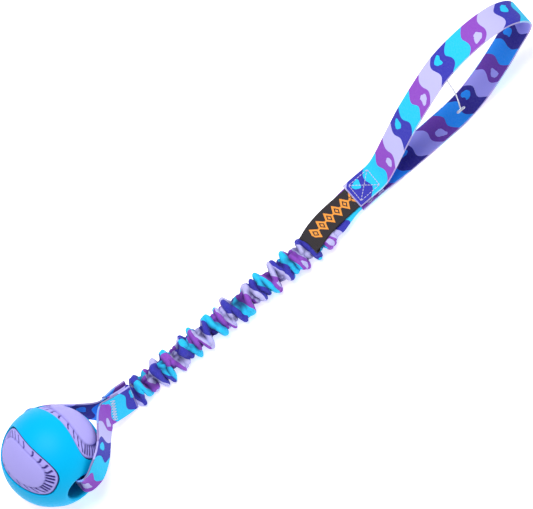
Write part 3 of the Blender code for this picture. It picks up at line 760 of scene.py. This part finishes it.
def inlay_point(share, turn, grow, radius, tilt):
    """A point of an oval patch on the ball, at this share of the way from its middle to its edge."""
    latitude = share * (INLAY_HALF_LENGTH + grow) / BALL_RADIUS * signed_power(sin(turn), INLAY_FULLNESS)
    sideways = share * (INLAY_HALF_WIDTH + grow) / BALL_RADIUS * signed_power(cos(turn), INLAY_FULLNESS)
    longitude = sideways / cos(latitude) + radians(tilt)
    out = radius * cos(latitude)
    return ball_place((out * sin(longitude), radius * sin(latitude), out * cos(longitude)))


def oval_scale():
    """A fine scale of turns round an inlay's outline, and how far along the outline each lies."""
    turns = [TURN * share for share in shares(OVAL_STEPS)]
    return turns, lengths_along([inlay_point(1, turn, 0, BALL_RADIUS, 0) for turn in turns])


def even_turns(count):
    """Turns round an inlay whose places lie evenly along its outline."""
    turns, lengths = oval_scale()
    places = [lengths[-1] * share for share in shares(count)[:-1]]
    return np.interp(places, lengths, turns).tolist()


def tick_places():
    """How far along an inlay's outline each groove across its rim lies, and if it is on a long side."""
    turns, lengths = oval_scale()
    sides = (SIDE_TICKS, SIDE_TICK_SPREAD_DEG, True)
    ends = (END_TICKS, END_TICK_SPREAD_DEG, False)
    found = []
    for middle, (count, spread, on_side) in ((0, sides), (180, sides), (90, ends), (270, ends)):
        for share in shares(count - 1):
            turn = radians(middle + spread * (share - 0.5)) % TURN
            found.append((float(np.interp(turn, turns, lengths)), on_side))
    return found


def inlay_profile(flange_start, flange_end, plateau):
    """An inlay's rings, as (share of its size, radius), from its buried edge to the middle of its face."""
    rim = BALL_RADIUS - INLAY_FLANGE_DROP
    rings = [(1, BALL_RADIUS - INLAY_DEPTH), (1, rim - INLAY_EDGE_ROUNDING)]
    for share in shares(4)[1:]:
        turn = pi / 2 * share
        round_share = 1 - (1 - flange_start) * (1 - cos(turn))
        rings.append((round_share, rim - INLAY_EDGE_ROUNDING * (1 - sin(turn))))
    for share in shares(10)[1:]:
        rings.append((between(flange_start, flange_end, share), rim))
    for share in shares(6)[1:]:
        rings.append((between(flange_end, plateau, share), rim + INLAY_FLANGE_DROP * smooth(share)))
    for share in shares(12)[1:-1]:
        rings.append((plateau * (1 - share), BALL_RADIUS))
    return rings


def inlay_rings(tilt):
    """Rings of an inlay's points, with how much painted shade each point gets in a groove or at an edge.
    """
    plateau = 1 - INLAY_FLANGE_WIDTH / INLAY_HALF_WIDTH
    flange_end = plateau + INLAY_STEP_WIDTH / INLAY_HALF_WIDTH
    flange_start = 1 - INLAY_EDGE_ROUNDING / INLAY_HALF_WIDTH
    whole = oval_scale()[1][-1]
    places = [whole * share for share in shares(INLAY_SIDES)[:-1]]
    turns, grooves = even_turns(INLAY_SIDES), tick_places()
    rings, shades = [], []
    for share, radius in inlay_profile(flange_start, flange_end, plateau):
        ring, shade = [], []
        inward = (share - flange_end) / (flange_start - flange_end)
        bent = TICK_BEND * (2 * smooth((2 * inward - 0.2) / 1.6) - 1)
        open_share = smooth((inward + 0.15) / 0.2) * smooth((0.92 - inward) / 0.15)
        for turn, place in zip(turns, places):
            cut = 0
            for middle, on_side in grooves if open_share else ():
                off = (place - middle - bent * on_side + whole / 2) % whole - whole / 2
                if abs(off) < 2 * TICK_WIDTH:
                    cut = max(cut, open_share * exp(-((off / (TICK_WIDTH / 2)) ** 4)))
            ring.append(inlay_point(share, turn, 0, radius - TICK_DEPTH * cut, tilt))
            # Painted shade: darker in the rim's grooves, at the foot of its step and along its outer edge.
            foot = exp(-(((inward - 0.03) / 0.12) ** 2)) * 0.35
            shade.append(min(max(cut, foot, 0.8 * smooth((inward - 1) * 8)), 1))
        rings.append(ring)
        shades.append(shade)
    return rings, shades


def cut_recess(shell, turns, tilt, look):
    """Cuts an inlay's recess into the ball, wider and deeper than the inlay by the groove round it."""
    bottom = BALL_RADIUS - INLAY_DEPTH - INLAY_GROOVE
    top = BALL_RADIUS + CUT_OVERRUN
    rings = [(share, bottom) for share in RECESS_SHARES] + [(share, top) for share in RECESS_SHARES[::-1]]
    points = []
    for share, radius in rings:
        points += [inlay_point(share, turn, INLAY_GROOVE, radius, tilt) for turn in turns]
    faces = wall_faces(len(rings), len(turns)) + end_faces(points, len(turns))
    cutter = make_object("recess", points, faces, [], look)
    outward(cutter)
    cut = shell.modifiers.new("recess", "BOOLEAN")
    cut.operation = "DIFFERENCE"
    cut.solver = "EXACT"
    cut.object = cutter
    apply_modifiers(shell)
    bpy.data.objects.remove(cutter, do_unlink=True)


def shade_shell(shell):
    """Marks how deep each corner of the ball lies in the bore or in the groove round an inlay, for the
    painted shade there.
    """
    turned_back = Matrix.Rotation(-(STRAP_YAW + BALL_TURN), 3, "Z")
    layer = shell.data.uv_layers.new(name="Cloth")
    for corner, item in zip(shell.data.loops, layer.data):
        point = turned_back @ (shell.data.vertices[corner.vertex_index].co - TOY_ORIGIN - BALL_CENTRE)
        out = hypot(point.x, point.z)
        in_bore = smooth((BORE_RADIUS + MOUTH_ROUNDING / 2 - out) / MOUTH_ROUNDING)
        in_groove = smooth((BALL_RADIUS - MOUTH_ROUNDING / 8 - point.length) / INLAY_GROOVE)
        outside_bore = out > BORE_RADIUS + MOUTH_ROUNDING
        # Painted shade: the bore and the grooves round the inlays are darkened by this mark.
        item.uv = (max(in_bore, in_groove * outside_bore), 0)


def build_shell(look):
    profile = ball_profile()
    points = []
    for share in shares(SHELL_SIDES)[:-1]:
        turn = TURN * share
        points += [ball_place((out * sin(turn), along, out * cos(turn))) for out, along in profile]
    faces = wall_faces(SHELL_SIDES, len(profile), looped=True)
    shell = make_object("ball_body", points, faces, [], look)
    outward(shell)
    turns = even_turns(RECESS_SIDES)
    for tilt in INLAY_TILTS_DEG:
        cut_recess(shell, turns, tilt, look)
    shade_shell(shell)
    shell.data.shade_smooth()
    shell.data.set_sharp_from_angle(angle=radians(40))
    fit(shell, "ball", "ball_shell")


def build_inlays(look):
    for number, tilt in enumerate(INLAY_TILTS_DEG, 1):
        rings, shades = inlay_rings(tilt)
        flats = [[(shade, 0) for shade in [*ring, ring[0]]] for ring in shades]
        points, faces, corners = lofted(rings, flats, capped=False)
        last = len(points) - INLAY_SIDES
        points.append(inlay_point(0, 0, 0, BALL_RADIUS, tilt))
        for j in range(INLAY_SIDES):
            faces.append((last + j, last + (j + 1) % INLAY_SIDES, len(points) - 1))
            corners += [(0, 0)] * 3
        inlay = make_object(f"ball_panel_{number}", points, faces, corners, look)
        outward(inlay)
        fit(inlay, "ball", f"ball_inlay_{number}")


# Ball strap


def strap_place(point):
    """From the strap's own frame, where the ball lies along -X from the bend, to the toy's frame."""
    return Matrix.Rotation(STRAP_YAW, 3, "Z") @ Vector(point)


def strap_height(reach):
    """Height of the strap's middle line, this far along X from the bend: level, then falling."""
    fall = smooth((reach + STRAP_DESCENT) / STRAP_DESCENT)
    return between(BALL_RADIUS, SLEEVE_HEIGHT, fall)


def strand_plan(side):
    """One strand seen from above, from the middle of the bore to the start of the seam.

    Each place is its distance from the ball's middle along X and to the strand's own side, with its curl,
    its share of the strand's lean and rise, and its share of the near strand's slack off the bore's wall.
    The part in and round the bore's mouth turns with the ball.
    """
    plan = []
    lean = STRAND_LEANS[side]
    hug = BALL_RADIUS + WEB_STAND + STRAND_STAND_OFFS[side]
    hug = (hug + side * STRAND_RISES[side] * sin(lean)) / cos(lean)
    bend = MOUTH_ROUNDING + WEB_STAND + STRAP_BORE_SLACK + STRAND_STAND_OFFS[side] / 2
    bend_middle = STRAP_CUP_RADIUS + bend
    bend_side = sqrt((hug - bend) ** 2 - bend_middle**2)
    with_ball = Matrix.Rotation(side * BALL_TURN, 2)
    for share in shares(BORE_STEPS)[:-1]:
        place = with_ball @ Vector((STRAP_CUP_RADIUS, bend_side * share))
        slack = smooth((1 - side * share) / 2)
        curl = 1 - STRAP_FLATTENED_SHARE * max(2 * slack - 1, 0)
        plan.append((*place, curl, 0, slack))
    slack = (1 - side) / 2
    mouth_curl = 1 - STRAP_FLATTENED_SHARE * slack
    hug_start = atan2(bend_side, bend_middle)
    for share in shares(BEND_STEPS):
        turn = between(pi, hug_start, share)
        place = with_ball @ Vector((bend_middle + bend * cos(turn), bend_side + bend * sin(turn)))
        leaning = smooth((share - IN_MOUTH_SHARE) / (1 - IN_MOUTH_SHARE))
        fade = 1 - smooth(share)
        plan.append((*place, mouth_curl * fade, leaning, slack * fade))
    hug_start += side * BALL_TURN
    seam_start = BALL_REACH - STRAP_SEAM_START
    leave = acos(hug / hypot(seam_start, SEAM_OFFSET)) + atan2(SEAM_OFFSET, seam_start)
    for share in shares(ROUND_BALL_STEPS)[1:]:
        turn = between(hug_start, leave, share)
        plan.append((hug * cos(turn), hug * sin(turn), 0, 1, 0))
    start = Vector(plan[-1][:2])
    pull = (seam_start - start.x) / 2
    first = start + pull * Vector((sin(leave), -cos(leave)))
    end = Vector((seam_start, SEAM_OFFSET))
    second = end - pull * Vector((1, 0)) / 2
    for place in interpolate_bezier(start, first, second, end, FREE_STEPS + 1)[1:-1]:
        plan.append((*place, 0, 1, 0))
    return plan


def lean_way(lean):
    """The way across the strap where it leans by this much from upright."""
    return strap_place((0, sin(lean), cos(lean)))


def seam_frame(reach):
    """A place on the sewn tongue's middle line, with the ways along, across and out of it."""
    here = strap_place((-reach, 0, strap_height(-reach)))
    there = strap_place((SLOPE_STEP - reach, 0, strap_height(SLOPE_STEP - reach)))
    along = (there - here).normalized()
    across = square_to(along, lean_way(STRAP_SEAM_LEAN))
    return here, along, across, along.cross(across)


def strand_stations(side):
    """One strand's stations, from the middle of the bore to its sewn end, turning to the seam's lean."""
    half_way = (BALL_REACH - STRAP_SEAM_START) / 2
    places, turns = [], []
    for out, aside, curl, leaning, slack in strand_plan(side):
        sewn = smooth((out - half_way) / half_way)
        lean = between(STRAND_LEANS[side] * leaning, STRAP_SEAM_LEAN, sewn)
        height = strap_height(out - BALL_REACH) + STRAND_RISES[side] * leaning * (1 - sewn)
        height -= side * SEAM_OFFSET * sin(lean) * sewn
        places.append(strap_place((out - STRAP_DRAWN_IN * slack - BALL_REACH, side * aside, height)))
        turns.append((lean, curl, sewn))
    reaches = [between(STRAP_SEAM_START, STRAP_SEAM_END, share) for share in shares(STRAP_SEAM_STEPS)]
    frames = [seam_frame(reach) for reach in reaches]
    place, _, _, out = frames[0]
    places.append(place - out * side * SEAM_OFFSET)
    stations = []
    for place, along, (lean, curl, sewn) in zip(places, directions(places), turns):
        along = side * Vector((along.x, along.y, along.z * sewn)).normalized()
        stations.append((place, along, lean_way(lean), -curl / STRAP_CUP_RADIUS))
    for number, (place, along, across, out) in enumerate(frames):
        lift = FAR_END_LIFT * smooth(2 * number / len(frames)) if side > 0 else 0
        stations.append((place - out * side * SEAM_OFFSET + across * lift, side * along, across, 0))
    return stations


def build_ball_strap(webbing, thread):
    stations = strand_stations(-1)[:0:-1] + strand_stations(1)[1:]
    strap = band("ball_webbing", stations, HALF_WEB, WEB_THICKNESS, webbing, WEB_CELLS)
    fit(strap, "ball_strap", "ball_strap")
    stand = SEAM_OFFSET + WEB_THICKNESS / 2
    for number, side in ((1, -1), (2, 1)):
        path = []
        for step in range(BARTACK_PASSES + 1):
            reach = STRAP_SEAM_START - BARTACK_WIDTH + (step % 2 - 0.5) * BARTACK_WIDTH
            place, _, across, out = seam_frame(reach)
            up = BARTACK_HEIGHT * (step / BARTACK_PASSES - 0.5)
            path.append(place - out * side * stand + across * up)
        tack = tube(f"strap_tack_{number}", curve_through(path, 3), STITCH_RADIUS, thread, STITCH_SIDES)
        fit(tack, "ball_strap", f"strap_bartack_{number}")


# Gathered sleeve


def handle_side(place):
    """How far to +Y the hand loop's middle lies, this far from its sewn end."""
    return HANDLE_SIDE_START + HANDLE_SIDE_DRIFT * place / HANDLE_LENGTH


def sleeve_middle(x):
    """A point of the sleeve's middle line: in one seam, round the elastic, then in the other seam."""
    if x < 0:
        return seam_frame(-x)[0]
    fall = smooth((x - FLAT_START) / (HANDLE_START - FLAT_START))
    side = HANDLE_SIDE_START * fall if x < HANDLE_START else handle_side(x - HANDLE_START)
    return Vector((x, side, between(SLEEVE_HEIGHT, FLAT_HEIGHT, fall)))


def gathered_share(x):
    """How far the cloth is gathered here: 0 in the seams, 1 between them."""
    opened = smooth((x - GATHER_START) / GATHER_OPENING)
    return opened * smooth((GATHER_END - x) / GATHER_CLOSING)


def sleeve_places():
    """Where the sleeve's rings stand along the toy, and how far each lies along the flat cloth."""
    tongue_end = BOX_STITCH_END_MARGIN - STRAP_SEAM_START
    flat_end = HANDLE_START + HANDLE_SEAM_LENGTH - BOX_STITCH_END_MARGIN
    lower, upper = GATHER_START - tongue_end, flat_end - GATHER_END
    places, runs = [tongue_end], [0]
    for end, cloth, rows in (
        (GATHER_START, lower, round(lower / FLAT_ROW)),
        (GATHER_END, GATHERED_CLOTH, GATHER_ROWS),
        (flat_end, upper, round(upper / FLAT_ROW)),
    ):
        start, run = places[-1], runs[-1]
        places += [between(start, end, share) for share in shares(rows)[1:]]
        runs += [run + cloth * share for share in shares(rows)[1:]]
    return places, runs


def fold_height(share, turn):
    """How far the cloth stands out here, from -1 between the folds to 1 on the winding ridge of one."""
    around = Vector((cos(turn), sin(turn), 0))
    place = around + UP * LOBES_ALONG * share
    drift = RUFFLE_DRIFT * noise.noise(Vector((DRIFTS_ALONG * share, 5, 0)))
    phase = TURN * RUFFLE_COUNT * share + (drift + RUFFLE_WANDER * noise.noise(place))
    off = signed_power(around.x, WIDE_FULLNESS) - RIDGE_SWING_SHARE * cos(phase)
    ridge = 2 * exp(-abs(off / RIDGE_REACH_SHARE) ** RIDGE_FULLNESS) - 1
    ring = cos(2 * phase + sin(turn))
    ringed = smooth(noise.noise(Vector((RINGS_ALONG * share, 0, 9))) + RINGED_SHARE)
    lobe = 1 + LOBE_CHANGE_SHARE * noise.noise(place + Vector((3, 0, 3 * share)))
    minor = MINOR_SHARE * noise.noise(MINOR_AROUND * around + UP * MINOR_ALONG * share)
    return between(ridge, ring, ringed) * lobe + minor


def ruffled_ring(x):
    """One ring of the sleeve: flat in the seams, and in winding folds between them."""
    gathered = gathered_share(x)
    share = (x - GATHER_START) / GATHER_SPAN
    spin = between(STRAP_SEAM_LEAN, pi / 2, smooth(share))
    spin += SLEEVE_SPIN * noise.noise(Vector((DRIFTS_ALONG * share, 5, 7))) * gathered
    ring = []
    for column in range(GATHER_COLUMNS):
        turn = TURN * column / GATHER_COLUMNS
        crest = fold_height(share, turn)
        slope = (fold_height(share + SLOPE_STEP / GATHER_SPAN, turn) - crest) / SLOPE_STEP * FOLD_HEIGHT
        shift = -FOLD_OVERHANG * slope / (1 + abs(slope)) * gathered
        middle = sleeve_middle(x + shift)
        along = (sleeve_middle(x + shift + SLOPE_STEP) - middle).normalized()
        across = square_to(along, lean_way(spin))
        fold = FOLD_HEIGHT * crest
        half_width = between(SLEEVE_HALF_WIDTH, FOLD_MIDDLE_WIDTH + fold, gathered)
        half_height = between(FLAT_THICKNESS / 2, FOLD_MIDDLE_HEIGHT + fold, gathered)
        wide = signed_power(cos(turn), WIDE_FULLNESS) * half_width
        high = signed_power(sin(turn), HIGH_FULLNESS) * half_height
        ring.append(under_label(middle + across * wide + along.cross(across) * high))
    return ring


def under_label(point):
    """Keeps the cloth above the floor and below the label that lies on it."""
    height = max(point.z, FIT_GAP)
    if point.x > HANDLE_START + LABEL_TUCK - LABEL_LENGTH - LABEL_ROOM:
        height = min(height, label_height(point.x) - LABEL_ROOM)
    return Vector((point.x, point.y, height))


def shade_folds(piece):
    """Marks how deep each corner of the sleeve lies between the folds, where the cloth gets painted shade.
    """
    layer = piece.data.uv_layers.new(name="Folds")
    for corner, item in zip(piece.data.loops, layer.data):
        point = piece.data.vertices[corner.vertex_index].co - TOY_ORIGIN
        off = point - sleeve_middle(point.x)
        deep = smooth((FOLD_TOP - hypot(off.y, off.z)) / FOLD_DEPTH)
        item.uv = (deep * gathered_share(point.x), 0)


def build_sleeve(cloth):
    """The sleeve is one tube of cloth, split where each end starts to turn about its bend."""
    places, runs = sleeve_places()
    rings = [ruffled_ring(x) for x in places]
    tube_width = 2 * SLEEVE_HALF_WIDTH
    flats = [[(run, tube_width * (2 * share - 1)) for share in shares(GATHER_COLUMNS)] for run in runs]
    lower, upper = np.searchsorted(places, (LOWER_SPLIT, UPPER_SPLIT)).tolist()

    def sleeve_length(name, first, last):
        """The tube from its first to its last ring."""
        part = slice(first, last + 1)
        piece = make_object(name, *lofted(rings[part], flats[part], capped=False), cloth)
        finer = piece.modifiers.new("finer", "SUBSURF")
        finer.levels = 1
        finer.render_levels = 1
        apply_modifiers(piece)
        piece.data.shade_smooth()
        shade_folds(piece)
        return piece

    lower_end = sleeve_length("sleeve_lower_end", 0, lower)
    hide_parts("sleeve_ball_end", "elastic_ball_tack")
    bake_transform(lower_end)
    gathers = sleeve_length("gathered_sleeve", lower, upper)
    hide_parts("bungee_sleeve")
    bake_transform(gathers)
    upper_end = sleeve_length("sleeve_upper_end", upper, len(rings) - 1)
    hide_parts("sleeve_handle_end", "elastic_handle_tack")
    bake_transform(upper_end)


def build_elastic(material):
    start = TACK_RADIUS + FIT_GAP
    end = SLEEVE_LENGTH - start
    path = [Vector((between(start, end, share), 0, SLEEVE_HEIGHT)) for share in shares(ELASTIC_STEPS)]
    core = tube("elastic_cord", path, ELASTIC_RADIUS, material, 24)
    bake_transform(core)
    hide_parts("elastic_core")


# Hand loop


def handle_path(steps=8):
    """The hand loop's middle line, from its upper cut end over the loop to its lower end."""
    seam_places = (0, HANDLE_SEAM_LENGTH / 2, HANDLE_SEAM_LENGTH)
    highest = HANDLE_RISE - WEB_THICKNESS / 2
    farthest = HANDLE_LENGTH - WEB_THICKNESS / 2
    outline = [(along, UPPER_WEB_HEIGHT) for along in seam_places]
    for along_share, up_share in LOOP_SHARES:
        outline.append((farthest * along_share, between(FLOOR_WEB_HEIGHT, highest, up_share)))
    outline += [(along, LOWER_WEB_HEIGHT) for along in seam_places[::-1]]
    path = []
    for point in curve_through([Vector((along, 0, up)) for along, up in outline], steps):
        height = max(point.z, FLOOR_WEB_HEIGHT)
        path.append(Vector((HANDLE_START + point.x, handle_side(point.x), height)))
    return path


def build_handle(webbing, thread):
    path = handle_path()
    stations = []
    for place, along in zip(path, directions(path)):
        if place.z == FLOOR_WEB_HEIGHT:
            along = Vector((along.x, along.y, 0)).normalized()
        stations.append((place, along, HANDLE_ACROSS, 0))
    loop = band("hand_loop", stations, HALF_WEB, WEB_THICKNESS, webbing, WEB_CELLS)
    fit(loop, "handle", "handle_webbing")
    top = UPPER_WEB_HEIGHT + WEB_THICKNESS / 2 + STITCH_RADIUS / 2
    near = HANDLE_START + BOX_STITCH_MARGIN
    far = HANDLE_START + HANDLE_SEAM_LENGTH - BOX_STITCH_END_MARGIN
    half = HALF_WEB - BOX_STITCH_MARGIN
    corners = []
    for x, y in ((near, -half), (near, half), (far, half), (far, -half)):
        corners.append(Vector((x, handle_side(x - HANDLE_START) + y, top)))
    lines = [[*corners, corners[0]], [corners[0], corners[2]], [corners[1], corners[3]]]
    box = stitches("handle_stitching", lines, UP, thread)
    fit(box, "handle", "handle_box_stitch")


# Label


def label_height(x):
    """Height of the label's middle line over this place along the toy."""
    share = (HANDLE_START + LABEL_TUCK - x) / LABEL_LENGTH
    rise = smooth((share - LABEL_LEVEL_SHARE) / (1 - LABEL_LEVEL_SHARE))
    return between(LABEL_SEAT_HEIGHT, LABEL_END_HEIGHT, rise)


def label_path():
    """The label's middle line, from under the hand loop's cut end to its free end."""
    path = []
    for share in shares(LABEL_STEPS):
        place = HANDLE_START + LABEL_TUCK - LABEL_LENGTH * share
        side = between(HANDLE_SIDE_START, LABEL_FREE_SIDE, share * share)
        path.append(Vector((place, side, label_height(place))))
    return path


def build_label(ribbon_cloth, thread):
    path = label_path()
    ways = directions(path)
    offset = (LABEL_PLY + FIT_GAP) / 2
    width_way = Vector((0, 1, 0))
    normals = [along.cross(width_way).normalized() for along in ways]
    upper = [place - normal * offset for place, normal in zip(path, normals)]
    lower = [place + normal * offset for place, normal in zip(path, normals)]
    fold = []
    for share in shares(LABEL_FOLD_STEPS)[1:-1]:
        bulge = ways[-1] * offset * sin(pi * share) * LABEL_FOLD_BULGE
        fold.append(path[-1] + bulge - normals[-1] * offset * cos(pi * share))
    ribbon = [*upper, *fold, *lower[::-1]]
    stations = [(place, along, width_way, 0) for place, along in zip(ribbon, directions(ribbon))]
    label = band("folded_label", stations, LABEL_WIDTH / 2, LABEL_PLY, [ribbon_cloth], 10)
    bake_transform(label)
    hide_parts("label")
    half = LABEL_WIDTH / 2 - LABEL_STITCH_MARGIN
    height = LABEL_SEAT_HEIGHT + LABEL_STACK / 2 + STITCH_RADIUS / 2
    ends = (HANDLE_SIDE_START - half, HANDLE_SIDE_START + half)
    line = [Vector((HANDLE_START - LABEL_STITCH_MARGIN, y, height)) for y in ends]
    seam = stitches("label_stitching", [line], UP, thread)
    fit(seam, "handle", "label_stitch")


# Tag pin


def build_tag_pin(nylon):
    over = min(handle_path(3), key=lambda point: abs(point.x - HANDLE_START - PIN_PLACE) - point.z)
    top = Vector((over.x, over.y - HALF_WEB + PIN_INSET, over.z - WEB_THICKNESS - FIT_GAP))
    bottom = top - Vector((PIN_SWAY, PIN_INSET, PIN_LENGTH))
    knee = (top + bottom) / 2 + Vector((PIN_SWAY / 4, 0, 0))
    path = curve_through([top, knee, bottom], 12)
    filament = tube("pin_filament", path, PIN_FILAMENT_RADIUS, nylon, 10)
    bar_path = [bottom + Vector((PIN_BAR_LENGTH * (share - 0.5), 0, 0)) for share in shares(4)]
    pin = join("tag_fastener", [filament, tube("pin_bar", bar_path, PIN_BAR_RADIUS, nylon, 12)])
    fit(pin, "handle", "tag_pin")


# Stage


def build_stage():
    nodes = Nodes("pale_floor", 0.9)
    cloud = nodes.noise(nodes.toy_place(), FLOOR_CLOUD_SIZE)
    nodes.put_all(nodes.shader, {"Emission Color": WHITE, "Emission Strength": FLOOR_LIGHT})
    look = nodes.finish(nodes.mix(cloud, srgb(252, 252, 252), srgb(248, 248, 250)), specular=0.1)
    ways = [Vector((x, y, 0)) for x, y in ((-1, -1), (1, -1), (1, 1), (-1, 1))]
    corners = [way * FLOOR_REACH - UP * FLOOR_DROP for way in ways]
    floor = make_object("floor", corners, [(0, 1, 2, 3)], [], look)
    world = bpy.data.worlds.new("studio")
    bpy.context.scene.world = world
    world.use_nodes = True
    background = world.node_tree.nodes["Background"]
    background.inputs["Color"].default_value = WHITE
    background.inputs["Strength"].default_value = WORLD_LIGHT


def build_camera_and_light():
    aim = TOY_ORIGIN + UP * AIM_HEIGHT + CAMERA_RIGHT * AIM_RIGHT + CAMERA_UP * AIM_UP
    data = bpy.data.cameras.new("camera")
    data.type = "ORTHO"
    data.sensor_fit = "HORIZONTAL"
    data.ortho_scale = IMAGE_WIDTH * PIXEL
    camera = add_to_scene("camera", data)
    turned = Matrix((CAMERA_RIGHT, CAMERA_UP, CAMERA_BACK)).transposed().to_4x4()
    camera.matrix_world = Matrix.Translation(aim + CAMERA_BACK * CAMERA_DISTANCE) @ turned
    bpy.context.scene.camera = camera
    light = bpy.data.lights.new("key", "AREA")
    light.size = KEY_SIZE
    light.energy = KEY_POWER
    key = add_to_scene("key", light)
    key.location = aim + CAMERA_BACK * KEY_BACK - CAMERA_RIGHT * KEY_LEFT + CAMERA_UP * KEY_UP
    key.rotation_euler = (key.location - aim).to_track_quat("Z", "Y").to_euler()


def main():
    thread = twisted_thread("sewing_thread", srgb(225, 220, 250))
    build_shell(rubber("cyan_rubber", srgb(0, 190, 250), 0.45, 0.25, srgb(0, 22, 66)))
    build_inlays(rubber("lilac_rubber", srgb(180, 172, 250), 0.5, 0.3, srgb(52, 36, 125)))
    strap_webbing = [
        print_cloth("printed_strap_back_painted_shade", PAINTED_SHADE_INKS, STRAP_BACK_SHIFT, 0.35),
        print_cloth("printed_strap", INKS, STRAP_SHIFT, 0.35),
    ]
    build_ball_strap(strap_webbing, thread)
    build_elastic(twisted_thread("elastic_cover", srgb(230, 230, 235)))
    loop_webbing = [
        print_cloth("printed_web", INKS, 0, 0.55),
        print_cloth("printed_web_back_painted_shade", PAINTED_SHADE_INKS, LOOP_BACK_SHIFT, 0.55),
    ]
    build_handle(loop_webbing, thread)
    build_sleeve(print_cloth("printed_sleeve_cloth", INKS, SLEEVE_SHIFT, 0, CREASE_DEPTH, 0.85))
    build_label(label_cloth(), twisted_thread("label_thread", srgb(40, 38, 42)))
    build_tag_pin(clear_nylon())
    build_stage()
    build_camera_and_light()
    bpy.context.scene.view_settings.view_transform = "Standard"


main()
